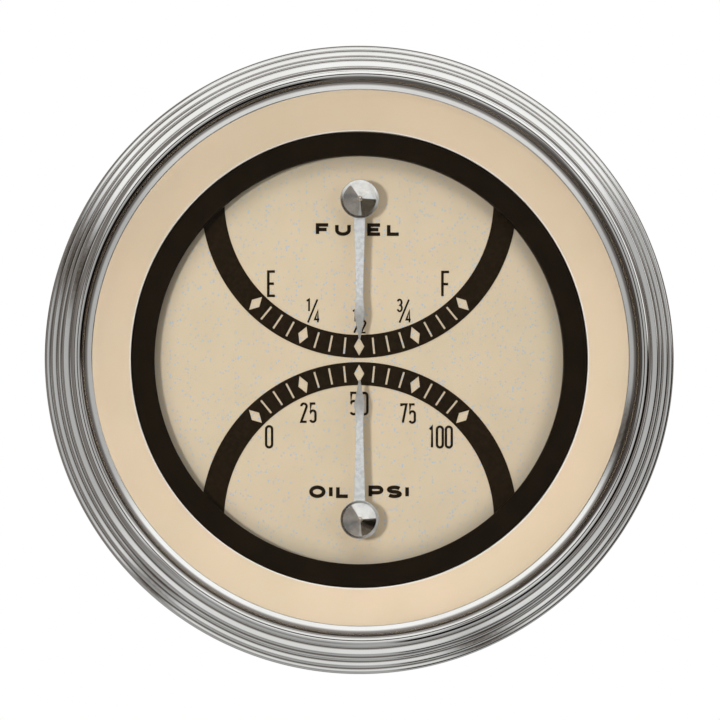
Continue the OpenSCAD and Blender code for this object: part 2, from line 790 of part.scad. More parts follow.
// A bayonet bulb: metal cap with a round contact and a pear-shaped glass
module lamp_bulb() {
    cap_foot_z = bulb_foot_z + bulb_cap_rise;
    cap_z = bulb_foot_z + bulb_cap_length;
    neck_z = cap_z + bulb_neck_rise;
    pear_z = neck_z + bulb_pear_rise;
    top_z = bulb_seat_z + bulb_length;
    section = [
        [0, bulb_foot_z, 0], [bulb_contact_r, bulb_foot_z, 0], [bulb_cap_r, cap_foot_z, 0.4],
        [bulb_cap_r, cap_z, 0.3], [bulb_neck_r, neck_z, 0.5],
        [bulb_r, pear_z, bulb_pear_r], [bulb_r, top_z, bulb_cap_r], [0, top_z, 0]
    ];
    rotate_extrude() polygon(rounded(section));
    // the cap is a close fit in the socket's barrel on two raised rings
    for (z = [cap_foot_z + bulb_contact_r, cap_z - bulb_pear_r])
        washer(socket_r - socket_wall - press_gap, bulb_neck_r, z, z + bulb_ring_h);
}

module lamp_socket_upper() {
    color("silver") upright() at_lamp(1) lamp_socket();
}

module lamp_socket_lower() {
    color("silver") upright() at_lamp(-1) lamp_socket();
}

module lamp_contact_upper() {
    color("saddlebrown") upright() at_lamp(1) lamp_contact();
}

module lamp_contact_lower() {
    color("saddlebrown") upright() at_lamp(-1) lamp_contact();
}

module lamp_bulb_upper() {
    color("lightyellow") upright() at_lamp(1) lamp_bulb();
}

module lamp_bulb_lower() {
    color("lightyellow") upright() at_lamp(-1) lamp_bulb();
}

// Pointers and movements, drawn about the pivot with the pointer downwards

// A spear-shaped pointer: it narrows to a waist, widens to a leaf and ends in a fine tip
module pointer() {
    waist_at = 0.7 * pointer_length;
    leaf_at = 0.82 * pointer_length;
    neck_at = 0.965 * pointer_length;
    neck_w = 0.48;
    tip_w = 0.3;
    half = [
        [pointer_root_w / 2, hub_cone_r / 3], [pointer_waist_w / 2, -waist_at], [pointer_leaf_w / 2, -leaf_at],
        [neck_w / 2, -neck_at], [tip_w / 2, -pointer_length]
    ];
    outline = concat(half, [for (i = [len(half) - 1 : -1 : 0]) [-half[i].x, half[i].y]]);
    difference() {
        union() {
            translate([0, 0, pointer_z]) linear_extrude(pointer_thick) polygon(outline);
            disc(hub_cone_r, pointer_z, hub_z);
        }
        disc(spindle_r, pointer_z - CUT, hub_z + CUT);
    }
}

// The hub cap: thin flange, spun cone and a small round nub
module hub_cap() {
    flange = 0.3;
    nub_r = 0.36;
    nub_h = 0.25;
    cone_top = hub_z + hub_height - nub_h;
    section = [
        [0, hub_z, 0], [hub_flange_r, hub_z, 0.05], [hub_flange_r, hub_z + flange, 0.1],
        [hub_cone_r, hub_z + flange, 0], [nub_r, cone_top, 0],
        [nub_r, cone_top + nub_h, 0.12], [0, cone_top + nub_h, 0]
    ];
    difference() {
        rotate_extrude() polygon(rounded(section));
        disc(spindle_r, hub_z - CUT, spindle_top_z);
    }
}

module spindle() {
    disc(spindle_r, spindle_end_z, spindle_top_z);
}

module magnet() {
    washer(magnet_r, spindle_r, movement_z - magnet_thick / 2, movement_z + magnet_thick / 2);
}

// The arm under the dial that balances the pointer and meets the stop pins
module stop_arm() {
    difference() {
        translate([0, 0, stop_arm_z]) linear_extrude(stop_arm_thick) union() {
            circle(r = stop_hub_r);
            translate([-stop_arm_w / 2, 0]) square([stop_arm_w, stop_arm_length - stop_arm_w / 2]);
            translate([0, stop_arm_length - stop_arm_w / 2]) circle(r = stop_arm_w / 2);
        }
        disc(spindle_r, stop_arm_z - CUT, stop_arm_z + stop_arm_thick + CUT);
    }
}

// Half of the bobbin from the magnet's mid-plane outwards, with its posts and flange
module bobbin_half_body() {
    room_h = magnet_thick / 2 + magnet_room;
    difference() {
        union() {
            translate([-bobbin_half, -bobbin_half, 0])
                cube([2 * bobbin_half, 2 * bobbin_half, bobbin_height / 2]);
            at_posts() disc(post_r, 0, post_z + flange_thick / 2);
            disc(bobbin_flange_r, post_z, post_z + flange_thick);
        }
        disc(magnet_r + free_gap, -CUT, room_h);
    }
}

module bobbin_front() {
    translate([0, 0, movement_z]) difference() {
        union() {
            bobbin_half_body();
            // the boss enters the chassis plate's hole and centres the movement there
            disc(boss_hole_r - press_gap, post_z, post_z + flange_thick + chassis_thick);
        }
        disc(spindle_r + run_gap, -CUT, post_z + flange_thick + chassis_thick + CUT);
    }
}

module bobbin_rear() {
    translate([0, 0, movement_z]) mirror([0, 0, 1]) difference() {
        bobbin_half_body();
        disc(spindle_r + run_gap, -CUT, movement_z - spindle_end_z + 2 * run_gap);
        at_posts() disc(coil_pin_r, post_z + flange_thick - coil_pin_depth, post_z + flange_thick + CUT);
    }
}

// One half winding: a square ring of wire round the bobbin, on one side of the spindle
module winding(half_y, half_z) {
    translate([coil_split, 0, movement_z]) rotate([90, 0, 90]) linear_extrude(coil_width) difference() {
        polygon(rounded([for (c = [[-1, -1], [1, -1], [1, 1], [-1, 1]])
            [c.x * (half_y + coil_thick), c.y * (half_z + coil_thick), coil_corner_r]]));
        polygon([for (c = [[-1, -1], [1, -1], [1, 1], [-1, 1]]) [c.x * half_y, c.y * half_z]]);
    }
}

module inner_coil() {
    for (side = [0, 180]) rotate([0, 0, side]) winding(bobbin_half + winding_gap / 2, inner_coil_z);
}

module outer_coil() {
    for (side = [90, 270]) rotate([0, 0, side]) winding(bobbin_half + winding_gap / 2, outer_coil_z);
}

// The steel can round a movement, pressed over the bobbin's two flanges
module shield_can() {
    washer(can_r, can_r - can_wall, movement_back_z, chassis_back_z);
}

module coil_pins() {
    at_posts() disc(coil_pin_r, board_back_z - coil_pin_end, movement_back_z + coil_pin_depth);
}

module fuel_pointer() {
    color("gainsboro") at_fuel() pointer();
}

module fuel_hub_cap() {
    color("silver") at_fuel() hub_cap();
}

module fuel_spindle() {
    color("gray") at_fuel() spindle();
}

module fuel_magnet() {
    color("dimgray") at_fuel() magnet();
}

module fuel_stop_arm() {
    color("goldenrod") at_fuel() stop_arm();
}

module fuel_bobbin_front() {
    color("ivory") at_fuel() bobbin_front();
}

module fuel_bobbin_rear() {
    color("ivory") at_fuel() bobbin_rear();
}

module fuel_inner_coil() {
    color("sienna") at_fuel() inner_coil();
}

module fuel_outer_coil() {
    color("peru") at_fuel() outer_coil();
}

module fuel_shield_can() {
    color("lightsteelblue") at_fuel() shield_can();
}

module fuel_coil_pins() {
    color("goldenrod") at_fuel() coil_pins();
}

module oil_pointer() {
    color("gainsboro") at_oil() pointer();
}

module oil_hub_cap() {
    color("silver") at_oil() hub_cap();
}

module oil_spindle() {
    color("gray") at_oil() spindle();
}

module oil_magnet() {
    color("dimgray") at_oil() magnet();
}

module oil_stop_arm() {
    color("goldenrod") at_oil() stop_arm();
}

module oil_bobbin_front() {
    color("ivory") at_oil() bobbin_front();
}

module oil_bobbin_rear() {
    color("ivory") at_oil() bobbin_rear();
}

module oil_inner_coil() {
    color("sienna") at_oil() inner_coil();
}

module oil_outer_coil() {
    color("peru") at_oil() outer_coil();
}

module oil_shield_can() {
    color("lightsteelblue") at_oil() shield_can();
}

module oil_coil_pins() {
    color("goldenrod") at_oil() coil_pins();
}

case_shell();
bezel();
lens();
lens_gasket();
dial_ring();
chapter_ring();
dial_plate();
fuel_scale();
oil_scale();
dial_spacers();
dial_screws();
chassis_plate();
chassis_screws();
stop_pins();
mounting_studs();
stud_nuts();
clamp_strap();
clamp_washers();
thumb_nut_left();
thumb_nut_right();
circuit_board();
resistors();
terminal_studs();
terminal_insulators();
terminal_washers();
terminal_nuts();
lamp_socket_upper();
lamp_socket_lower();
lamp_contact_upper();
lamp_contact_lower();
lamp_bulb_upper();
lamp_bulb_lower();
fuel_pointer();
fuel_hub_cap();
fuel_spindle();
fuel_magnet();
fuel_stop_arm();
fuel_bobbin_front();
fuel_bobbin_rear();
fuel_inner_coil();
fuel_outer_coil();
fuel_shield_can();
fuel_coil_pins();
oil_pointer();
oil_hub_cap();
oil_spindle();
oil_magnet();
oil_stop_arm();
oil_bobbin_front();
oil_bobbin_rear();
oil_inner_coil();
oil_outer_coil();
oil_shield_can();
oil_coil_pins();
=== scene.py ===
"""Looks for the dual fuel and oil gauge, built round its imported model.

Pieces are worked out in the drawing frame of the part's source, in millimetres: x to the right, up, and out
towards the viewer. place() puts such points into the shared frame, in metres.
"""

import logging
from collections.abc import Iterable
from dataclasses import dataclass, field
from enum import Enum
from functools import cache, reduce
from operator import add
from typing import ClassVar

import bmesh
import bpy
import numpy as np
from bpy.types import ID, Material, Mesh, Node, NodeSocket, NodeTree, Object
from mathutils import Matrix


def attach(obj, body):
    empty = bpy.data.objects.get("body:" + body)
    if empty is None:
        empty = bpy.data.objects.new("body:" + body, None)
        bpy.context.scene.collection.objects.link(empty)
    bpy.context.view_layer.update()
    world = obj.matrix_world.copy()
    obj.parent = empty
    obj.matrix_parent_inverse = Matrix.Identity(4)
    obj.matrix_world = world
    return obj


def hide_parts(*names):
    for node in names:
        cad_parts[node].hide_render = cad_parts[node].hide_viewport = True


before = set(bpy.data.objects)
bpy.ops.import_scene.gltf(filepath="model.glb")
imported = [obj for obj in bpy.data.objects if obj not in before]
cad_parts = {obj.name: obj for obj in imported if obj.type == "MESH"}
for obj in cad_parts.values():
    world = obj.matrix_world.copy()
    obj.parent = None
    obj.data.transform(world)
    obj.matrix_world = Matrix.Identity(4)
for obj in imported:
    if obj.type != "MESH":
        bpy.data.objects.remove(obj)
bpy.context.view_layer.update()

Array = np.ndarray
RGB = tuple[int, int, int]
Corners = list[tuple[float, float, float]]
LOG = logging.getLogger("gauge")
MM = 0.001
TURN = 2 * np.pi


# ---- Shapes ----

class Ends(Enum):
    """How the first and last row of a lofted grid are closed."""

    JOINED = "the last row meets the first, unless both are points"
    CAPPED = "a flat face closes each end"


@dataclass
class Shape:
    """Points in the drawing frame and the faces between them."""

    points: Array
    faces: list[list[int]]

    def __add__(self, other: "Shape") -> "Shape":
        """Both shapes as one.

        Args:
            other: the shape that comes after this one.

        Returns:
            The two together.
        """
        start = len(self.points)
        faces = self.faces + [[i + start for i in f] for f in other.faces]
        return Shape(np.vstack([self.points, other.points]), faces)

    def shifted(self, x: float = 0, up: float = 0) -> "Shape":
        """The shape moved by that much."""
        return Shape(self.points + np.array([x, up, 0]), self.faces)

    def turned(self, degrees: float) -> "Shape":
        """The shape turned about the out axis.

        Args:
            degrees: how far, from right towards up.

        Returns:
            The turned shape.
        """
        a = np.radians(degrees)
        turn = np.array([[np.cos(a), -np.sin(a), 0], [np.sin(a), np.cos(a), 0], [0, 0, 1]])
        return Shape(self.points @ turn.T, self.faces)


def joined(shapes: Iterable[Shape]) -> Shape:
    """All the shapes as one."""
    return reduce(add, shapes)


def place(points: Array) -> Array:
    """Drawing frame to shared frame: (x, up, out) in millimetres becomes (x, -out, up) in metres."""
    return np.stack((points[..., 0], -points[..., 2], points[..., 1]), -1) * MM


def unit(v: Array) -> Array:
    """Each row at length one."""
    return v / np.linalg.norm(v, axis=-1, keepdims=True)


def rounded(corners: Corners, steps: int = 8, support: float = 0.02, flat: float = 0.35) -> Array:
    """A closed outline whose corners are rounded.

    The centre of a corner's arc lies on its bisector, at radius / sin(half its angle), and the arc runs
    between the two points where the sides touch it. A support point just before and after keeps the flat
    sides flat in shading.

    Args:
        corners: each corner's two coordinates and its radius.
        steps: segments of each arc.
        support: distance of the support points from the arc.
        flat: distance of a second pair of points on long sides; none if it is nought.

    Returns:
        The outline's points, n by 2.
    """
    at = np.array([c[:2] for c in corners], float)
    radius = np.array([c[2] for c in corners], float)
    before = unit(np.roll(at, 1, 0) - at)
    after = unit(np.roll(at, -1, 0) - at)
    half = np.arccos(np.clip((before * after).sum(1), -1, 1)) / 2
    centre = at + unit(before + after) * (radius / np.sin(half))[:, None]
    reach = (radius / np.tan(half))[:, None]
    first, last = at + before * reach - centre, at + after * reach - centre
    start = np.arctan2(first[:, 1], first[:, 0])
    sweep = (np.arctan2(last[:, 1], last[:, 0]) - start + np.pi) % TURN - np.pi
    angle = start[:, None] + sweep[:, None] * np.linspace(0, 1, steps + 1)
    arcs = centre[:, None] + radius[:, None, None] * np.stack([np.cos(angle), np.sin(angle)], -1)
    enter, leave = at + before * (reach + support), at + after * (reach + support)
    far_enter, far_leave = at + before * (reach + flat), at + after * (reach + flat)
    span = np.linalg.norm(np.roll(at, -1, 0) - at, axis=1)[:, None] - reach - np.roll(reach, -1, 0)
    on_axis = (at[:, 0] == 0) & (np.roll(at[:, 0], -1) == 0)
    long_after = (span[:, 0] > 2.4 * flat) & (flat > 0) & ~on_axis
    long_before = np.roll(long_after, 1)
    runs = []
    for i in range(len(at)):
        run = [enter[i], *arcs[i], leave[i]] if radius[i] > 0 else [at[i]]
        run = [far_enter[i], *run] if long_before[i] else run
        runs += [*run, far_leave[i]] if long_after[i] else run
    return np.array(runs)


def angles(count: int) -> Array:
    """Equal steps once round."""
    return np.linspace(0, TURN, count, endpoint=False)


def revolve(section: Array, count: int = 128) -> Array:
    """A section turned about the out axis: at angle a its point (r, z) stands at (r cos a, r sin a, z)."""
    return ringed(np.repeat(section[:, :1], count, 1), section[:, 1])


def ringed(radius: Array, height: Array) -> Array:
    """A grid from each row's radius at every angle, and each row's height."""
    a = angles(radius.shape[1])
    return np.stack([radius * np.cos(a), radius * np.sin(a), np.repeat(height[:, None], len(a), 1)], -1)


def quads_over(index: Array) -> Array:
    """The quads between each row of a grid's point numbers and the next, closed round."""
    low, high = index[:-1], index[1:]
    return np.stack([low, np.roll(low, -1, 1), np.roll(high, -1, 1), high], -1).reshape(-1, 4)


def loft(grid: Array, ends: Ends = Ends.JOINED) -> Shape:
    """Quads over a grid whose columns go round, turned so that its signed volume is positive.

    Args:
        grid: rows by columns by 3.
        ends: how the first and last row are closed.

    Returns:
        A closed shape.
    """
    rows, cols = grid.shape[:2]
    index = np.arange(rows * cols).reshape(rows, cols)
    pointed = max(np.ptp(grid[0], axis=0).max(), np.ptp(grid[-1], axis=0).max()) < 1e-9
    if ends is Ends.JOINED and not pointed:
        index = np.vstack([index, index[:1]])
    quads = quads_over(index)
    faces = quads.tolist()
    points = grid.reshape(-1, 3)
    tris = np.vstack([quads[:, [0, 1, 2]], quads[:, [0, 2, 3]]])
    if ends is Ends.CAPPED:
        for cap in (index[0][::-1], index[-1]):
            faces.append(cap.tolist())
            tris = np.vstack([tris, np.stack([np.full(cols - 2, cap[0]), cap[1:-1], cap[2:]], -1)])
    a, b, c = points[tris[:, 0]], points[tris[:, 1]], points[tris[:, 2]]
    if (a * np.cross(b, c)).sum() < 0:
        faces = [f[::-1] for f in faces]
    return Shape(points, faces)


def turned_solid(corners: Corners, count: int = 96, steps: int = 6) -> Shape:
    """A solid of revolution: its rounded section turned about the out axis."""
    return loft(revolve(rounded(corners, steps), count))


def disc(radius: float, low: float, high: float, edges: tuple[float, float] = (0, 0),
         count: int = 72) -> Shape:
    """A plain round solid on the out axis.

    Args:
        radius: its radius.
        low, high: heights of its two faces.
        edges: the radius that its low and its high edge are rounded by.
        count: segments round it.

    Returns:
        The disc.
    """
    first, last = edges
    return turned_solid([(0, low, 0), (radius, low, first), (radius, high, last), (0, high, 0)], count)


def plate_ring(outer: Array, inner: float, low: float, high: float, bevel: float) -> Shape:
    """A plate with a round hole: a rim given by its radius at every angle, with bevelled edges.

    Args:
        outer: the rim's radius at equal steps once round.
        inner: the hole's radius.
        low, high: heights of its two faces.
        bevel: width of the rim's and the hole's bevels.

    Returns:
        The plate.
    """
    hole = np.full_like(outer, inner)
    radius = np.stack([hole, hole + bevel, outer - bevel, outer, outer, outer - bevel, hole + bevel, hole])
    height = np.array([low + bevel, low, low, low + bevel, high - bevel, high, high, high - bevel])
    return loft(ringed(radius, height))


def hex_nut(corner: float, bore: float, low: float, high: float, count: int = 96,
            bevel: float = 0.25) -> Shape:
    """A hexagon nut.

    The rim's radius is the flats' distance / cos(angle from the middle of a flat), cut down to a cone of 30
    degrees at both faces.

    Args:
        corner: radius of the hexagon's corners.
        bore: radius of the hole.
        low, high: heights of its two faces.
        count: segments round it.
        bevel: width of the hole's bevels.

    Returns:
        The nut.
    """
    across = corner * np.cos(np.pi / 6)
    flat = across / np.cos((angles(count) % (np.pi / 3)) - np.pi / 6)
    depth = np.array([0.0, 0.12, 0.25, 0.4, 0.6])
    limit = across - 0.05 + depth / np.tan(np.radians(30))
    cut = np.minimum(flat[None, :], limit[:, None])
    hole = np.full((1, count), bore)
    radius = np.vstack([hole, hole + bevel, cut, cut[::-1], hole + bevel, hole])
    height = [low + bevel, low, *(low + depth), *(high - depth)[::-1], high, high - bevel]
    return loft(ringed(radius, np.array(height)))


def threaded_rod(radius: float, pitch: float, low: float, high: float, count: int = 28) -> Shape:
    """A rod with a real helical thread.

    The crest's phase is height / pitch - angle / one turn. The radius falls from the crest by a share of the
    pitch in even flanks, and near the rod's free end, which is the low one, it is cut down to a cone.

    Args:
        radius: the crest's radius.
        pitch: distance between two turns.
        low, high: heights of the free end and of the other end.
        count: segments round the rod.

    Returns:
        The rod.
    """
    flank, tip, step = 0.6 * pitch, 0.9 * pitch, pitch / 8
    z = np.arange(low, high + step / 2, step)
    phase = z[:, None] / pitch - angles(count) / TURN
    r = radius - flank * np.abs(2 * (phase % 1) - 1)
    r = np.minimum(r, radius - tip + (z - low)[:, None])
    r = np.vstack([np.zeros((1, count)), r, np.zeros((1, count))])
    return loft(ringed(r, np.concatenate([[z[0]], z, [z[-1]]])))


def ribbon(path: Array, width: float, low: float, high: float, closed: bool = False) -> Shape:
    """A flat stroke of even width: a rectangle carried along a path, mitred at its corners.

    Args:
        path: n by 2 points.
        width: the stroke's width.
        low, high: heights of its two faces.
        closed: whether the path meets itself.

    Returns:
        The stroke as a thin solid.
    """
    ahead = unit(np.roll(path, -1, 0) - path)
    behind = unit(path - np.roll(path, 1, 0))
    if not closed:
        ahead[-1], behind[0] = behind[-1], ahead[0]
    along = unit(ahead + behind)
    side = np.stack([-along[:, 1], along[:, 0]], -1)
    side *= (width / 2 / np.clip((along * ahead).sum(1), 0.5, 1))[:, None]
    left, right = path + side, path - side
    corners = [(left, low), (left, high), (right, high), (right, low)]
    grid = np.stack([np.column_stack([p, np.full(len(p), z)]) for p, z in corners], 1)
    return loft(grid, Ends.JOINED if closed else Ends.CAPPED)


# ---- Finishes ----

def screen(*rgb: int) -> tuple[float, float, float, float]:
    """A colour as a screen shows it, 0 to 255, as the linear values that a shader takes.

    Args:
        rgb: its red, green and blue, 0 to 255.

    Returns:
        The colour, with an alpha of one.
    """
    c = np.array(rgb) / 255
    linear = np.where(c <= 0.04045, c / 12.92, ((c + 0.055) / 1.055) ** 2.4)
    return (*linear.tolist(), 1.0)


class Tree:
    """Adds and joins the nodes of one material or node group."""

    def __init__(self, tree: NodeTree) -> None:
        """Starts from an empty tree."""
        self.tree = tree
        tree.nodes.clear()

    def add(self, kind: str, inputs: dict | None = None, **settings: object) -> Node:
        """Adds a node.

        Args:
            kind: the node's type.
            inputs: a value or another node's output for each named or numbered input.
            settings: values of the node's own properties.

        Returns:
            The node.
        """
        node = self.tree.nodes.new(kind)
        for key, value in settings.items():
            setattr(node, key, value)
        for key, value in (inputs or {}).items():
            if isinstance(value, NodeSocket):
                self.tree.links.new(value, node.inputs[key])
            else:
                node.inputs[key].default_value = value
        return node

    def math(self, operation: str, *values: object) -> NodeSocket:
        """The result of one Math node."""
        return self.add("ShaderNodeMath", dict(enumerate(values)), operation=operation).outputs[0]

    def vector(self, operation: str, *values: object) -> Node:
        """One Vector Math node."""
        return self.add("ShaderNodeVectorMath", dict(enumerate(values)), operation=operation)

    def ramp(self, value: object, low: object, high: object, out_low: object = 0.0,
             out_high: object = 1.0) -> NodeSocket:
        """A smooth step of value from low to high, as out_low to out_high."""
        inputs = {"Value": value, "From Min": low, "From Max": high, "To Min": out_low, "To Max": out_high}
        return self.add("ShaderNodeMapRange", inputs, interpolation_type="SMOOTHSTEP").outputs["Result"]

    def mix(self, factor: object, under: object, over: object) -> NodeSocket:
        """Colour under, turning to colour over as factor goes to one."""
        return self.add("ShaderNodeMix", {0: factor, 6: under, 7: over}, data_type="RGBA").outputs[2]

    def from_axis(self, where: NodeSocket) -> NodeSocket:
        """Distance from the gauge's axis in millimetres: the length of (x, 0, z)."""
        flat = self.vector("MULTIPLY", where, (1.0, 0.0, 1.0)).outputs[0]
        return self.math("MULTIPLY", self.vector("LENGTH", flat).outputs["Value"], 1 / MM)

    def effect(self, group: NodeTree, where: NodeSocket, **inputs: object) -> dict[str, NodeSocket]:
        """What a shared effect puts out at a place."""
        return self.add("ShaderNodeGroup", {"Vector": where, **inputs}, node_tree=group).outputs


GREY = (0.5, 0.5, 0.5, 1.0)


class Effect(Tree):
    """A shared effect: a node group that puts out colours, masks or numbers."""

    def __init__(self, name: str, gives: tuple[str, ...], **inputs: object) -> None:
        """Starts the group.

        Args:
            name: the group's name.
            gives: what it puts out, which is a colour where it is called so and a number otherwise.
            inputs: the default of each input beside the place: a number, or a colour of four.
        """
        group = bpy.data.node_groups.new(name, "ShaderNodeTree")
        super().__init__(group)
        group.interface.new_socket("Vector", in_out="INPUT", socket_type="NodeSocketVector")
        for label, default in inputs.items():
            kind = "NodeSocketFloat" if np.isscalar(default) else "NodeSocketColor"
            group.interface.new_socket(label, in_out="INPUT", socket_type=kind).default_value = default
        for label in gives:
            kind = "NodeSocketColor" if label == "Colour" else "NodeSocketFloat"
            group.interface.new_socket(label, in_out="OUTPUT", socket_type=kind)
        self.ins = self.add("NodeGroupInput").outputs

    def cells(self) -> NodeSocket:
        """The scale that makes a texture's cells as large as the group's size, in millimetres."""
        return self.math("DIVIDE", 1 / MM, self.ins["Size"])

    def noise(self, scale: object, detail: float, roughness: float = 0.5) -> NodeSocket:
        """Noise over the place."""
        inputs = {"Vector": self.ins["Vector"], "Scale": scale, "Detail": detail, "Roughness": roughness}
        return self.add("ShaderNodeTexNoise", inputs).outputs[0]

    def some(self, mask: NodeSocket, share: str = "Amount") -> NodeSocket:
        """The mask times the input of that name."""
        return self.math("MULTIPLY", mask, self.ins[share])

    def other(self, mask: NodeSocket) -> NodeSocket:
        """The group's colour, turning to its other colour with the mask."""
        return self.mix(mask, self.ins["Colour"], self.ins["Other"])

    def done(self, *results: NodeSocket) -> NodeTree:
        """Puts the results out in order."""
        self.add("NodeGroupOutput", dict(enumerate(results)))
        return self.tree


@cache
def fine_grain() -> NodeTree:
    """Fine grain: noise of a size in millimetres, as a roughness between two values and a height.

    Returns:
        The group.
    """
    made = Effect("fine_grain", ("Roughness", "Height"), Size=0.3, Low=0.3, High=0.4)
    noise = made.noise(made.cells(), 4.0, 0.6)
    return made.done(made.ramp(noise, 0.3, 0.7, made.ins["Low"], made.ins["High"]), noise)


@cache
def mottling() -> NodeTree:
    """Soft patches of another colour, of a size in millimetres, up to a share.

    Returns:
        The group.
    """
    made = Effect("mottling", ("Colour",), Size=4.0, Share=0.3, Colour=GREY, Other=GREY)
    patches = made.ramp(made.noise(made.cells(), 3.0), 0.35, 0.68)
    return made.done(made.other(made.some(patches, "Share")))


@cache
def specks() -> NodeTree:
    """Round specks of another colour: a share of the cells of that size, in millimetres.

    Returns:
        The group.
    """
    made = Effect("specks", ("Colour",), Size=0.2, Share=0.1, Amount=0.5, Colour=GREY, Other=GREY)
    cells = made.add("ShaderNodeTexVoronoi", {"Vector": made.ins["Vector"], "Scale": made.cells()}).outputs
    pick = made.add("ShaderNodeSeparateColor", {"Color": cells["Color"]}).outputs[0]
    chosen = made.math("LESS_THAN", pick, made.ins["Share"])
    mask = made.math("MULTIPLY", chosen, made.ramp(cells["Distance"], 0.45, 0.25))
    return made.done(made.other(made.some(mask)))


@cache
def spun_lines() -> NodeTree:
    """Turning marks: noise along the distance from the gauge's axis, with a pitch in millimetres.

    Returns:
        The group.
    """
    made = Effect("spun_lines", ("Height",), Pitch=0.1)
    steps = made.math("DIVIDE", made.from_axis(made.ins["Vector"]), made.ins["Pitch"])
    noise = made.add("ShaderNodeTexNoise", {"W": steps, "Scale": 1.0, "Detail": 2.0}, noise_dimensions="1D")
    return made.done(noise.outputs[0])


@cache
def edge_wear() -> NodeTree:
    """Bare edges: where the surface is sharply convex, broken up by noise.

    Returns:
        The group.
    """
    made = Effect("edge_wear", ("Colour",), Amount=0.5, Colour=GREY, Other=GREY)
    convex = made.add("ShaderNodeNewGeometry").outputs["Pointiness"]
    broken = made.math("MULTIPLY", made.math("SUBTRACT", made.noise(900.0, 3.0), 0.5), 0.06)
    return made.done(made.other(made.some(made.ramp(made.math("ADD", convex, broken), 0.56, 0.66))))


@cache
def settled_dust() -> NodeTree:
    """A little dust on what faces up, broken up by noise.

    Returns:
        The group.
    """
    made = Effect("dust", ("Colour",), Amount=0.2, Colour=GREY)
    normal = made.add("ShaderNodeNewGeometry").outputs["Normal"]
    facing = made.ramp(made.add("ShaderNodeSeparateXYZ", {0: normal}).outputs[2], 0.2, 0.9)
    mask = made.math("MULTIPLY", facing, made.ramp(made.noise(400.0, 5.0), 0.35, 0.75))
    return made.done(made.mix(made.some(mask), made.ins["Colour"], screen(176, 170, 158)))


@cache
def radial_mask() -> NodeTree:
    """A mask that rises from one distance from the gauge's axis to another, in millimetres."""
    made = Effect("radial_mask", ("Mask",), From=10.0, To=20.0)
    return made.done(made.ramp(made.from_axis(made.ins["Vector"]), made.ins["From"], made.ins["To"]))


@cache
def painted_corner_shade(corners: tuple[tuple[float, float, float], ...]) -> NodeTree:
    """Painted shade in the round corners, as a mask about each corner.

    Args:
        corners: each corner's radius, height and reach, in millimetres.

    Returns:
        The group.
    """
    made = Effect("painted_corner_shade", ("Mask",))
    where = made.ins["Vector"]
    height = made.math("MULTIPLY", made.add("ShaderNodeSeparateXYZ", {0: where}).outputs[1], -1 / MM)
    point = made.add("ShaderNodeCombineXYZ", {0: made.from_axis(where), 1: height}).outputs[0]
    mask: object = 0.0
    for r, z, reach in corners:
        gap = made.vector("DISTANCE", point, (r, z, 0.0)).outputs["Value"]
        mask = made.math("MAXIMUM", mask, made.ramp(gap, reach, reach * 0.35))
    return made.done(mask)


def blank(name: str) -> tuple[Material, Tree, NodeSocket]:
    """A new material, its empty tree, and the place on the object that patterns follow.

    Args:
        name: the material's name.

    Returns:
        The material, its tree and the place.
    """
    made = bpy.data.materials.new(name)
    made.use_nodes = True
    tree = Tree(made.node_tree)
    return made, tree, tree.add("ShaderNodeTexCoord").outputs["Object"]


# The colour and amount of the shade painted into the bezel's corners, and how much edges are worn bare.
CORNER_SHADE_COLOUR, CORNER_SHADE_AMOUNT, BARE_AMOUNT = (84, 70, 56), 0.8, 0.6


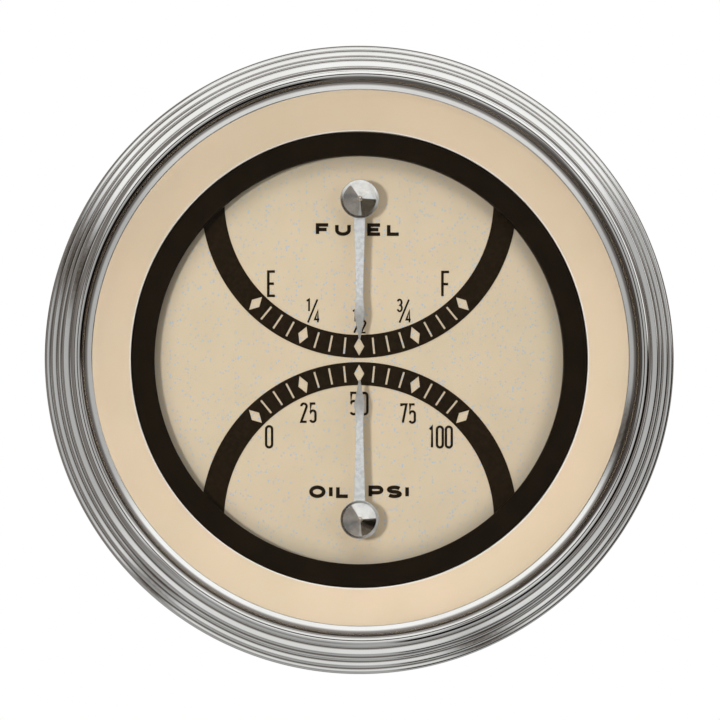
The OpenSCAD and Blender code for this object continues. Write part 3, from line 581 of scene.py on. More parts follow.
@dataclass(frozen=True)
class Finish:
    """How one material looks. Colours are as a screen shows them, and lengths are in millimetres.

    Grain has a size and a height, and turned lines have a pitch and a height. Patches have a colour, size and
    share, and specks an amount as well. A shade is painted light or shade: a colour, the distances from the
    axis between which it rises, and an amount. A corner where shade is painted has a radius, height and
    reach.
    """

    name: str
    slot: str
    colour: RGB
    roughness: float
    metallic: float = 0.0
    spread: float = 0.08
    grain: tuple[float, float] = (0.25, 0.002)
    patches: tuple[RGB, float, float] = field(kw_only=True)
    specks: tuple[RGB, float, float, float] | None = None
    shade: tuple[RGB, float, float, float] | None = None
    lines: tuple[float, float] | None = None
    corners: tuple[tuple[float, float, float], ...] = ()
    bare: RGB | None = None
    dust: float = 0.0
    coat: float = 0.0
    specular: float = 0.5

    def coloured(self, tree: Tree, where: NodeSocket) -> NodeSocket:
        """The base colour with its patches, specks, painted light and shade, bare edges and dust.

        Args:
            tree: the material's tree.
            where: the place on the object.

        Returns:
            The colour.
        """
        other, size, share = self.patches
        colour = tree.effect(mottling(), where, Size=size, Share=share, Colour=screen(*self.colour),
                             Other=screen(*other))["Colour"]
        if self.specks:
            other, size, share, amount = self.specks
            colour = tree.effect(specks(), where, Size=size, Share=share, Amount=amount, Colour=colour,
                                 Other=screen(*other))["Colour"]
        # Painted light or shade that rises with the distance from the axis.
        if self.shade:
            other, start, end, amount = self.shade
            mask = tree.effect(radial_mask(), where, From=start, To=end)["Mask"]
            colour = tree.mix(tree.math("MULTIPLY", mask, amount), colour, screen(*other))
        # Painted shade: dark lines in the round corners that stand in for shade and dark reflections.
        if self.corners:
            mask = tree.effect(painted_corner_shade(self.corners), where)["Mask"]
            colour = tree.mix(tree.math("MULTIPLY", mask, CORNER_SHADE_AMOUNT), colour, screen(*CORNER_SHADE_COLOUR))
        if self.bare:
            colour = tree.effect(edge_wear(), where, Amount=BARE_AMOUNT, Colour=colour,
                                 Other=screen(*self.bare))["Colour"]
        if self.dust:
            colour = tree.effect(settled_dust(), where, Amount=self.dust, Colour=colour)["Colour"]
        return colour

    @cache
    def material(self) -> Material:
        """The finish's material, made once.

        Returns:
            The material.
        """
        made, tree, where = blank(self.name)
        size, height = self.grain
        grain = tree.effect(fine_grain(), where, Size=size, Low=max(self.roughness - self.spread, 0.02),
                            High=self.roughness + self.spread)
        bump = tree.add("ShaderNodeBump", {"Height": grain["Height"], "Distance": height * MM})
        if self.lines:
            pitch, height = self.lines
            lines = tree.effect(spun_lines(), where, Pitch=pitch)["Height"]
            inputs = {"Height": lines, "Distance": height * MM, "Normal": bump.outputs[0]}
            bump = tree.add("ShaderNodeBump", inputs)
        shader = tree.add("ShaderNodeBsdfPrincipled", {
            "Roughness": grain["Roughness"], "Metallic": self.metallic, "Coat Weight": self.coat,
            "Specular IOR Level": self.specular, "Normal": bump.outputs[0],
            "Base Color": self.coloured(tree, where)})
        tree.add("ShaderNodeOutputMaterial", {"Surface": shader.outputs[0]})
        return made


@dataclass(frozen=True)
class Glass:
    """Clear glass with a faint tint."""

    name: str
    slot: str
    tint: RGB

    @cache
    def material(self) -> Material:
        """The glass's material, made once.

        Returns:
            The material.
        """
        made, tree, where = blank(self.name)
        tint = tree.effect(mottling(), where, Size=9.0, Share=0.4, Colour=screen(255, 255, 255),
                           Other=screen(*self.tint))["Colour"]
        shader = tree.add("ShaderNodeBsdfPrincipled", {
            "Roughness": 0.0, "Transmission Weight": 1.0, "IOR": 1.5, "Base Color": tint})
        tree.add("ShaderNodeOutputMaterial", {"Surface": shader.outputs[0]})
        return made


@dataclass(frozen=True)
class Finishes:
    """Every finish on the gauge."""

    bezel: Finish = Finish(
        "polished_bezel_steel", "bezel_steel", (244, 244, 242), 0.07, 1.0, spread=0.02, grain=(0.5, 0.0004),
        patches=((226, 226, 222), 14.0, 0.5), lines=(0.12, 0.0004),
        # Painted shade goes in these corners: the bezel's concave roots and the inner side of the bead.
        corners=((40.2, 7.1, 0.6), (40.5, 8.5, 0.85), (42.3, 7.0, 0.35), (43.55, 5.56, 0.3),
                 (44.2, 4.07, 0.3), (45.2, 2.48, 0.3)))
    lens: Glass = Glass("lens_glass_clear", "lens_glass", (246, 252, 250))
    gasket: Finish = Finish(
        "gasket_rubber_black", "gasket_rubber", (30, 29, 28), 0.75, grain=(0.2, 0.01),
        patches=((46, 44, 42), 5.0, 0.5))
    cream: Finish = Finish(
        "dial_cream_paint", "dial_cream", (218, 199, 170), 0.62, grain=(0.12, 0.003),
        patches=((212, 193, 163), 6.0, 0.5), specks=((172, 192, 212), 0.37, 0.2, 1.0),
        # Painted shade: the plate turns grey towards the raised chapter ring, where the ring's shadow falls.
        shade=((158, 149, 133), 26.6, 30.4, 0.55), specular=0.25)
    # The ring's cream is painted lighter than the dial's same paint in place of light, and its shade is a
    # painted highlight along the inner edge.
    ring: Finish = Finish(
        "dial_ring_cream_paint", "dial_cream", (236, 213, 183), 0.5, grain=(0.15, 0.002),
        patches=((232, 208, 177), 8.0, 0.5), shade=((254, 251, 245), 33.75, 33.6, 0.75), specular=0.3)
    black: Finish = Finish(
        "chapter_ring_black", "chapter_black", (20, 13, 5), 0.6, grain=(0.15, 0.004),
        patches=((28, 20, 10), 5.0, 0.5), specular=0.12)
    print_black: Finish = Finish(
        "scale_print_black", "scale_black", (28, 20, 9), 0.65, grain=(0.1, 0.001),
        patches=((42, 32, 19), 0.6, 0.5), specular=0.12)
    pointer: Finish = Finish(
        "pointer_satin_silver", "pointer_silver", (234, 236, 236), 0.4, 0.35, grain=(0.15, 0.004),
        # Painted shade: the leaf darkens towards the tip in place of its reflections.
        patches=((200, 202, 202), 0.6, 0.7), shade=((132, 126, 116), 10.0, 6.0, 0.6))
    hub: Finish = Finish(
        "hub_cap_polished", "hub_polished", (240, 240, 238), 0.06, 1.0, spread=0.02, grain=(0.3, 0.0006),
        patches=((205, 204, 200), 1.2, 0.5))
    case: Finish = Finish(
        "case_zinc_plated", "case_steel", (182, 183, 184), 0.4, 0.6, spread=0.1,
        patches=((158, 160, 164), 7.0, 0.5), specks=((206, 206, 204), 0.7, 0.3, 0.35), lines=(0.35, 0.004),
        bare=(205, 205, 202), dust=0.12)
    plated: Finish = Finish(
        "fastener_zinc_plated", "plated_steel", (186, 186, 184), 0.3, 1.0,
        patches=((158, 158, 160), 1.5, 0.5), bare=(222, 222, 220), dust=0.1)
    clamp: Finish = Finish(
        "clamp_zinc_plated", "plated_steel", (180, 181, 180), 0.4, 0.65, grain=(0.4, 0.006),
        patches=((192, 184, 162), 6.0, 0.5), bare=(216, 216, 214), dust=0.12)
    brass: Finish = Finish(
        "nut_brass", "brass", (190, 156, 92), 0.3, 1.0, patches=((158, 124, 70), 2.0, 0.5),
        bare=(226, 200, 140), dust=0.1)
    fibre: Finish = Finish(
        "insulator_fibre", "fibre", (96, 42, 30), 0.65, grain=(0.12, 0.012),
        patches=((120, 58, 40), 1.2, 0.5), specks=((60, 26, 20), 0.18, 0.2, 0.5), dust=0.1)
    board: Finish = Finish(
        "circuit_board_green", "board", (38, 84, 52), 0.35, patches=((30, 68, 44), 2.0, 0.5),
        specks=((196, 168, 98), 2.2, 0.14, 0.9), coat=0.3)
    resistor: Finish = Finish(
        "resistor_body_tan", "resistor_body", (196, 164, 120), 0.5, patches=((170, 134, 92), 0.8, 0.5),
        coat=0.2)
    bulb: Glass = Glass("bulb_glass_clear", "bulb_glass", (250, 248, 240))
    bobbin: Finish = Finish(
        "bobbin_moulded_plastic", "bobbin_plastic", (226, 220, 204), 0.45, grain=(0.2, 0.004),
        patches=((212, 204, 186), 3.0, 0.5))
    magnet: Finish = Finish(
        "rotor_magnet_sintered", "magnet_iron", (66, 66, 70), 0.5, 0.6, grain=(0.1, 0.01),
        patches=((48, 48, 52), 0.8, 0.5))
    copper: Finish = Finish(
        "enamelled_copper_wire", "copper_wire", (168, 82, 44), 0.3, 0.85, grain=(0.12, 0.01),
        patches=((136, 60, 34), 0.5, 0.5), coat=0.5)
    nickel: Finish = Finish(
        "lamp_nickel_plated", "plated_steel", (200, 198, 192), 0.26, 1.0, patches=((172, 168, 160), 2.0, 0.5),
        bare=(226, 224, 220), dust=0.08)


FINISH = Finishes()


def added(name: str, data: ID) -> Object:
    """A new object in the scene.

    Args:
        name: its name.
        data: its mesh, lamp or camera.

    Returns:
        The object.
    """
    made = bpy.data.objects.new(name, data)
    bpy.context.scene.collection.objects.link(made)
    return made


def mesh_of(name: str, shape: Shape) -> Mesh:
    """The shape as a mesh in the shared frame, with double points joined.

    Args:
        name: the mesh's name.
        shape: its points and faces in the drawing frame.

    Returns:
        The mesh.
    """
    mesh = bpy.data.meshes.new(name)
    mesh.from_pydata(place(shape.points).tolist(), [], shape.faces)
    work = bmesh.new()
    work.from_mesh(mesh)
    bmesh.ops.remove_doubles(work, verts=work.verts, dist=2e-7)
    bmesh.ops.dissolve_degenerate(work, edges=work.edges, dist=1e-8)
    work.to_mesh(mesh)
    work.free()
    return mesh


def make(name: str, shape: Shape, finish: Finish | Glass, body: str, *stands_for: str,
         sharp: float = 35.0) -> Object:
    """Makes a piece from its shape and sets it on its body.

    Args:
        name: the piece's name.
        shape: its points and faces in the drawing frame.
        finish: its finish.
        body: the body that it rides on.
        stands_for: the CAD nodes that it replaces.
        sharp: edges that bend by more than this many degrees are shaded as edges.

    Returns:
        The piece.
    """
    mesh = mesh_of(name, shape)
    mesh.polygons.foreach_set("use_smooth", np.ones(len(mesh.polygons), bool))
    mesh.set_sharp_from_angle(angle=np.radians(sharp))
    mesh.materials.append(finish.material())
    piece = added(name, mesh)
    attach(piece, body)
    if stands_for:
        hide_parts(*stands_for)
    LOG.info("%s: %d faces on %s", name, len(mesh.polygons), body)
    return piece


def dress(finish: Finish, *nodes: str) -> None:
    """Gives CAD nodes that are shown as they are their finish.

    Args:
        finish: what they are finished in.
        nodes: the nodes' names.
    """
    for node in nodes:
        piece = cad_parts[node]
        piece.data.materials.clear()
        piece.data.materials.append(finish.material())
        LOG.info("%s: its own mesh, %s", node, finish.name)


# ---- Front ----

@dataclass
class Front:
    """Bezel, lens and the two rings behind it."""

    case_inner_r: float = 41.4
    bezel_r: float = 46.05
    wall: float = 0.7
    curl_r: float = 43.45
    risers: tuple[float, float, float] = (45.2, 44.2, 43.55)
    treads: tuple[float, float, float, float] = (2.34, 3.93, 5.42, 6.86)
    slope: float = 0.14
    bead_r: float = 42.3
    bead_inner_r: float = 40.2
    bead_round: float = 1.03
    bead_foot_z: float = 7.0
    bead_top_z: float = 9.0
    lip_r: float = 39.05
    lip_outer_z: float = 7.1
    lip_inner_z: float = 6.9
    lens_z: float = 6.2
    lens_back_z: float = 4.2
    lens_r: float = 41.55
    ring_inner_r: float = 33.5
    ring_inner_z: float = 0.6
    ring_z: float = 3.6
    flange_z: float = 1.6
    ring_outer_r: float = 43.0
    skirt_z: float = 1.0
    chapter_r: tuple[float, float] = (30.0, 33.4)
    chapter_z: tuple[float, float] = (-1.7, 0.3)

    def bezel(self) -> None:
        """The spun bezel: rolled edge, rim, four treads, round bead and lip, with the same steps inside.

        Its shadow is left out, so that the cream ring is lit up to the lip.
        """
        w, s = self.wall, self.slope
        r1, r2, r3 = self.risers
        t1, t2, t3, t4 = self.treads
        top = [
            (self.curl_r, 0, 0.3), (self.bezel_r, 0, 0.6), (self.bezel_r, t1, 0.5), (r1, t1 + s, 0.1),
            (r1, t2, 0.5), (r2, t2 + s, 0.1), (r2, t3, 0.4), (r3, t3 + s, 0.1), (r3, t4, 0.5),
            (self.bead_r, self.bead_foot_z, 0.12), (self.bead_r, self.bead_top_z, self.bead_round),
            (self.bead_inner_r, self.bead_top_z, self.bead_round), (self.bead_inner_r, self.lip_outer_z, 0.1),
            (self.lip_r, self.lip_inner_z, 0.2), (self.lip_r, self.lens_z, 0.2),
        ]
        inner = self.bead_r - w
        under = [
            (inner, self.lens_z, 0), (inner, t4 - w, 0), (r3 - w, t4 - w, 0), (r3 - w, t3 - w, 0),
            (r2 - w, t3 - w, 0), (r2 - w, t2 - w, 0), (r1 - w, t2 - w, 0), (r1 - w, t1 - w, 0),
            (self.bezel_r - w, t1 - w, 0), (self.bezel_r - w, w, 0), (self.curl_r, w, 0.3),
        ]
        shape = turned_solid(top + under, 420, 9)
        make("bezel_spun", shape, FINISH.bezel, "housing", "bezel", sharp=60).visible_shadow = False

    def lens(self) -> None:
        """Flat glass with ground edges. Its shadow is left out, so that the lamps light the dial."""
        r, low, high, edge = self.lens_r, self.lens_back_z, self.lens_z, 0.3
        section = [[0, low], [r - edge, low], [r, low + edge], [r, high - edge], [r - edge, high], [0, high]]
        shape = loft(revolve(np.array(section), 192))
        piece = make("lens_flat", shape, FINISH.lens, "housing", "lens")
        piece.visible_shadow = piece.visible_diffuse = False

    def rings(self) -> None:
        """The sloping cream ring, which ends in a thin rolled edge, and the black chapter ring."""
        skirt = self.case_inner_r - 0.2
        slope = turned_solid([
            (self.ring_inner_r, self.ring_inner_z - 0.25, 0.1), (skirt - 3, self.skirt_z, 0.5),
            (skirt, self.skirt_z, 0.1), (skirt, self.flange_z, 0), (self.ring_outer_r, self.flange_z, 0.1),
            (self.ring_outer_r, self.ring_z, 0.1), (self.lip_r, self.ring_z, 3),
            (self.ring_inner_r, self.ring_inner_z, 0.1)], 256, 10)
        make("dial_ring_sloping", slope, FINISH.ring, "housing", "dial_ring")
        (inner, outer), (low, high) = self.chapter_r, self.chapter_z
        edge = 0.18
        section = [(inner, low, 0), (outer, low, 0), (outer, high, edge), (inner, high, edge)]
        black = turned_solid(section, 256)
        make("chapter_ring_raised", black, FINISH.black, "housing", "chapter_ring")

    def build(self) -> None:
        """Builds every piece of the front."""
        self.bezel()
        self.lens()
        self.rings()
        dress(FINISH.gasket, "lens_gasket")


def arc(x: float, up: float, rx: float, ry: float, start: float, end: float, steps: int = 14) -> Array:
    """Points of an elliptical arc: centre + (rx cos a, ry sin a), with a from start to end in degrees."""
    a = np.radians(np.linspace(start, end, steps + 1))
    return np.stack([x + rx * np.cos(a), up + ry * np.sin(a)], -1)


@dataclass
class Lettering:
    """Printed figures and words as strokes. A glyph's strokes are drawn in a box one wide and one high."""

    low: float = -1.7
    high: float = -1.66
    CLOSED: ClassVar[str] = "0O"

    def strokes(self, glyph: str, k: float) -> list[Array]:
        """A glyph's strokes, each written as its points and, in longer brackets, what arc() takes.

        Args:
            glyph: a figure, letter or slash.
            k: the box's width over its height, which keeps round ends round.

        Returns:
            Each stroke's points in the unit box, where a point that repeats the one before is left out.
        """
        h = k / 2
        drawn = {
            "0": [[(0.5, 1 - h, 0.5, h, 0, 180), (0.5, h, 0.5, h, 180, 360)]],
            "1": [[(0, 0.86), (0.55, 1), (0.55, 0)]],
            "2": [[(0.5, 1 - h, 0.5, h, 180, -25), (0, 0), (1, 0)]],
            "3": [[(0.48, 0.76, 0.46, 0.24, 160, -75), (0.5, 0.27, 0.5, 0.27, 75, -160)]],
            "4": [[(1, 0.24), (0, 0.24), (0.7, 1), (0.7, 0)]],
            "5": [[(0.98, 1), (0.08, 1), (0.06, 0.53), (0.5, 0.62 - h, 0.5, h, 150, 0, 8),
                   (0.5, h, 0.5, h, 0, -165)]],
            "7": [[(0, 0.9), (0, 1), (1, 1), (0.28, 0)]],
            "/": [[(0, 0), (1, 1)]],
            "E": [[(1, 1), (0, 1), (0, 0), (1, 0)], [(0, 0.5), (0.85, 0.5)]],
            "F": [[(1, 1), (0, 1), (0, 0)], [(0, 0.5), (0.85, 0.5)]],
            "I": [[(0.5, 0), (0.5, 1)]],
            "L": [[(0, 1), (0, 0), (1, 0)]],
            "O": [[(0.5, 0.5, 0.5, 0.5, 0, 345, 23)]],
            "P": [[(0, 0), (0, 1), (0.62, 0.7, 0.38, 0.3, 90, -90), (0, 0.4)]],
            "S": [[(0.5, 0.75, 0.5, 0.25, 25, 270), (0.5, 0.25, 0.5, 0.25, 90, -155)]],
            "U": [[(0, 1), (0.5, 0.42, 0.5, 0.42, 180, 360), (1, 1)]],
        }
        paths = [np.vstack([arc(*p) if len(p) > 2 else [p] for p in stroke]) for stroke in drawn[glyph]]
        return [path[np.append(True, np.abs(np.diff(path, axis=0)).sum(1) > 1e-9)] for path in paths]

    def glyph(self, glyph: str, x: float, up: float, width: float, height: float, stroke: float) -> Shape:
        """One glyph with its middle at x, up, and its outer edges width and height apart.

        Args:
            glyph: a figure, letter or slash.
            x, up: its middle.
            width, height: its outer size.
            stroke: its strokes' width.

        Returns:
            The glyph.
        """
        wide, tall = max(width - stroke, 1e-3), height - stroke
        closed = glyph in self.CLOSED
        return joined(ribbon((path - 0.5) * [wide, tall] + [x, up], stroke, self.low, self.high, closed)
                      for path in self.strokes(glyph, wide / tall))

    def word(self, text: str, x: float, up: float, widths: list[float], height: float, gap: float,
             stroke: float) -> Shape:
        """Glyphs side by side, centred on x.

        Args:
            text: the figures or letters.
            x, up: the word's middle.
            widths: each glyph's outer width.
            height: their height.
            gap: the space between two.
            stroke: their strokes' width.

        Returns:
            The word.
        """
        total = sum(widths) + gap * (len(text) - 1)
        starts = x - total / 2 + np.cumsum([0.0] + [w + gap for w in widths[:-1]])
        return joined(self.glyph(g, start + w / 2, up, w, height, stroke)
                      for g, start, w in zip(text, starts, widths))

    def fraction(self, figures: str, x: float, up: float) -> Shape:
        """A small figure over a slash over another.

        Args:
            figures: the upper and the lower figure.
            x, up: the slash's middle.

        Returns:
            The fraction.
        """
        tall, wide, stroke = 2.0, 0.92, 0.27
        nudge = 0.1 if figures[0] == "1" else 0
        first = self.glyph(figures[0], x - 0.68 + nudge, up + 0.84, wide, tall, stroke)
        slash = self.glyph("/", x - 0.02, up, 1.66, 3.66, stroke)
        return first + slash + self.glyph(figures[1], x + 0.62, up - 0.8, wide, tall, stroke)


class Dial:
    """The cream plate and what is printed on it."""

    def build(self) -> None:
        """Dresses the plate and its scales and prints the figures and words."""
        dress(FINISH.cream, "dial_plate")
        dress(FINISH.print_black, "fuel_scale", "oil_scale")
        a = Lettering()
        printed = {
            "fuel_figures": [
                a.glyph("E", -12.85, 11.2, 1.36, 3.95, 0.38), a.glyph("F", 12.75, 11.2, 1.36, 3.95, 0.38),
                a.fraction("14", -6.8, 7.2), a.fraction("12", 0, 5.7), a.fraction("34", 6.65, 7.2)],
            "oil_figures": [
                a.word("0", -13.2, -11.3, [1.24], 3.45, 0, 0.36),
                a.word("25", -7.45, -7.75, [1.14, 1.1], 3.02, 0.2, 0.34),
                a.word("50", 0, -6.4, [1.2, 1.24], 3.5, 0.36, 0.36),
                a.word("75", 7.2, -7.85, [1.08, 1.1], 3.02, 0.14, 0.34),
                a.word("100", 12.0, -11.3, [0.95, 1.22, 1.22], 3.4, 0.1, 0.36)],
            "fuel_word": [
                a.word("FU", -3.8, 19.2, [2.1, 2.3], 1.86, 0.75, 0.52),
                a.word("EL", 3.65, 19.2, [2.15, 2.0], 1.86, 0.75, 0.52)],
            "oil_word": [
                a.word("OIL", -4.35, -19.35, [2.4, 0.54, 2.0], 1.86, 0.5, 0.54),
                a.word("PSI", 4.35, -19.35, [2.2, 2.2, 0.54], 1.86, 0.5, 0.54)],
        }
        for name, shapes in printed.items():
            make(name, joined(shapes), FINISH.print_black, "housing")


# ---- Pointers ----

@dataclass
class Needle:
    """One pointer and its hub cap, drawn about the pivot with the pointer downwards."""

    name: str
    half_turn: bool
    pivot: float = 23.5
    low: float = 0.3
    thick: float = 0.3
    length: float = 20.5
    hub_r: float = 2.85
    cone_r: float = 2.3
    crown_r: float = 2.42
    flange_rise: float = 0.32
    nub: float = 0.36
    hub_height: float = 1.8

    def at_pivot(self, shape: Shape) -> Shape:
        """Moves a shape to the pivot, turned half round for the lower one."""
        return shape.turned(180).shifted(up=-self.pivot) if self.half_turn else shape.shifted(up=self.pivot)

    def spear(self) -> Shape:
        """The pointer.

        Its half width runs in straight lines over stations along its length: root, waist, leaf, neck and tip.
        The section is flat below, has bevelled edges above and rises to a low ridge that grows to the leaf.

        Returns:
            The spear with the disc that it ends in under the hub cap.
        """
        station = np.array([0.0, 0.04, 0.70, 0.82, 0.965, 1.0])
        half = np.array([0.88, 0.875, 0.51, 0.79, 0.23, 0.13])
        ridge = np.array([0.0, 0.0, 0.03, 0.12, 0.05, 0.02])
        s = np.unique(np.concatenate([np.linspace(0, 1, 61), station]))
        w, rise = np.interp(s, station, half), np.interp(s, station, ridge)
        bevel, even = np.minimum(0.07, w * 0.4), np.ones_like(w)
        low, high, fall, drop = self.low, self.low + self.thick, 0.02, 0.1
        across = np.stack([-w, -w, -w + bevel, 0 * even, w - bevel, w, w], 1)
        top = np.stack([low * even, (high - drop) * even, high - fall * even, high - fall + rise,
                        high - fall * even, (high - drop) * even, low * even], 1)
        along = np.repeat((-s * self.length)[:, None], across.shape[1], 1)
        blade = loft(np.stack([across, along, top], -1), Ends.CAPPED)
        bore = 0.6
        return blade + turned_solid([(bore, low, 0.03), (self.cone_r, low, 0.03), (self.cone_r, high, 0.05),
                                     (bore, high, 0.03)], 64)

    def cap(self) -> Shape:
        """The hub cap: thin sloping flange, turned cone and a small round nub.

        Returns:
            The cap.
        """
        z = self.low + self.thick
        top, rim = z + self.hub_height, z + self.flange_rise
        return turned_solid([
            (0, z, 0), (self.hub_r, z, 0.05), (self.hub_r, rim - 0.03, 0.08), (self.crown_r, rim, 0.05),
            (self.nub, top - self.nub, 0.05), (self.nub, top, 0.3), (0, top, 0)], 128)

    def build(self) -> None:
        """Builds the pointer and its cap and dresses what turns with them and what drives them."""
        n, body = self.name, f"{self.name}_needle"
        spear, cap = self.at_pivot(self.spear()), self.at_pivot(self.cap())
        make(f"{n}_pointer_spear", spear, FINISH.pointer, body, f"{n}_pointer", sharp=20)
        make(f"{n}_hub_cap_turned", cap, FINISH.hub, body, f"{n}_hub_cap", sharp=40)
        dress(FINISH.plated, f"{n}_spindle", f"{n}_shield_can")
        dress(FINISH.magnet, f"{n}_magnet")
        dress(FINISH.brass, f"{n}_stop_arm", f"{n}_coil_pins")
        dress(FINISH.bobbin, f"{n}_bobbin_front", f"{n}_bobbin_rear")
        dress(FINISH.copper, f"{n}_inner_coil", f"{n}_outer_coil")


# ---- Back ----

@dataclass
class Back:
    """Case, studs, nuts and terminals."""

    back_z: float = -38.0
    inner_z: float = -37.1
    chassis_back_z: float = -5.7
    stud_x: float = 16.0
    stud_r: float = 2.4
    stud_end_z: float = -64.0
    stud_pitch: float = 0.8
    stud_nut: tuple[float, float] = (4.6, 2.4)
    pillar_r: float = 3.2
    terminal_pitch: float = 12.013
    terminal_row: float = 25.0
    terminal_r: float = 2.0
    terminal_end_z: float = -49.0
    terminal_thread: float = 0.7
    terminal_nut: tuple[float, float] = (4.0, 3.0)
    post_r: float = 3.0
    post_tail_r: float = 1.5
    post_end_z: float = -25.15
    board_back_z: float = -26.7
    bush_bore: float = 2.05
    bush_neck_r: float = 3.0
    bush_inner_r: float = 4.1
    insulator_r: float = 4.5
    insulator_flange: float = 1.2
    washer_thick: float = 0.6

    def at_studs(self, shape: Shape) -> Shape:
        """A copy of the shape at each mounting stud."""
        return shape.shifted(-self.stud_x) + shape.turned(180).shifted(self.stud_x)

    def at_terminals(self, shape: Shape) -> Shape:
        """A copy of the shape at each terminal."""
        return joined(shape.shifted(i * self.terminal_pitch, row * self.terminal_row)
                      for row in (-1, 1) for i in (-1, 0, 1))

    def studs(self) -> None:
        """The two mounting studs, each a pillar inside and a threaded rod outside, and their nuts."""
        pillar = disc(self.pillar_r, self.inner_z, self.chassis_back_z, (0.2, 0.2), 64)
        rod = threaded_rod(self.stud_r, self.stud_pitch, self.stud_end_z, self.inner_z)
        studs = self.at_studs(pillar + rod)
        make("mounting_studs_threaded", studs, FINISH.plated, "housing", "mounting_studs", sharp=50)
        corner, height = self.stud_nut
        nut = hex_nut(corner, self.stud_r, self.back_z - height, self.back_z)
        make("stud_nuts_hex", self.at_studs(nut), FINISH.plated, "housing", "stud_nuts", sharp=25)

    def terminals(self) -> None:
        """The six terminals, each a stud in a bush of two flanges, with its washer and nut."""
        face, inside = self.back_z - self.insulator_flange, self.inner_z + self.insulator_flange
        under = face - self.washer_thick
        post = turned_solid([
            (0, inside, 0), (self.post_r, inside, 0.2), (self.post_r, self.board_back_z, 0.2),
            (self.post_tail_r, self.board_back_z, 0), (self.post_tail_r, self.post_end_z, 0.1),
            (0, self.post_end_z, 0)], 48)
        rod = threaded_rod(self.terminal_r, self.terminal_thread, self.terminal_end_z, inside, 24)
        studs = self.at_terminals(post + rod)
        make("terminal_studs_threaded", studs, FINISH.brass, "housing", "terminal_studs", sharp=50)
        bush = turned_solid([
            (self.bush_bore, face, 0.1), (self.insulator_r, face, 0.3), (self.insulator_r, self.back_z, 0.05),
            (self.bush_neck_r, self.back_z, 0), (self.bush_neck_r, self.inner_z, 0),
            (self.bush_inner_r, self.inner_z, 0.05), (self.bush_inner_r, inside, 0.2),
            (self.bush_bore, inside, 0.1)], 64)
        make("terminal_bushes", self.at_terminals(bush), FINISH.fibre, "housing", "terminal_insulators")
        ring = plate_ring(np.full(64, self.bush_inner_r), self.bush_bore, under, face, 0.08)
        make("terminal_washers_flat", self.at_terminals(ring), FINISH.plated, "housing", "terminal_washers")
        corner, height = self.terminal_nut
        nut = hex_nut(corner, self.terminal_r, under - height, under)
        make("terminal_nuts_hex", self.at_terminals(nut), FINISH.brass, "housing", "terminal_nuts", sharp=25)

    def build(self) -> None:
        """Builds the studs, nuts and terminals and dresses the case and what it holds."""
        dress(FINISH.case, "case_shell")
        self.studs()
        self.terminals()
        dress(FINISH.plated, "dial_spacers", "dial_screws", "chassis_screws")
        dress(FINISH.clamp, "chassis_plate")
        dress(FINISH.brass, "stop_pins")
        dress(FINISH.board, "circuit_board")
        dress(FINISH.resistor, "resistors")


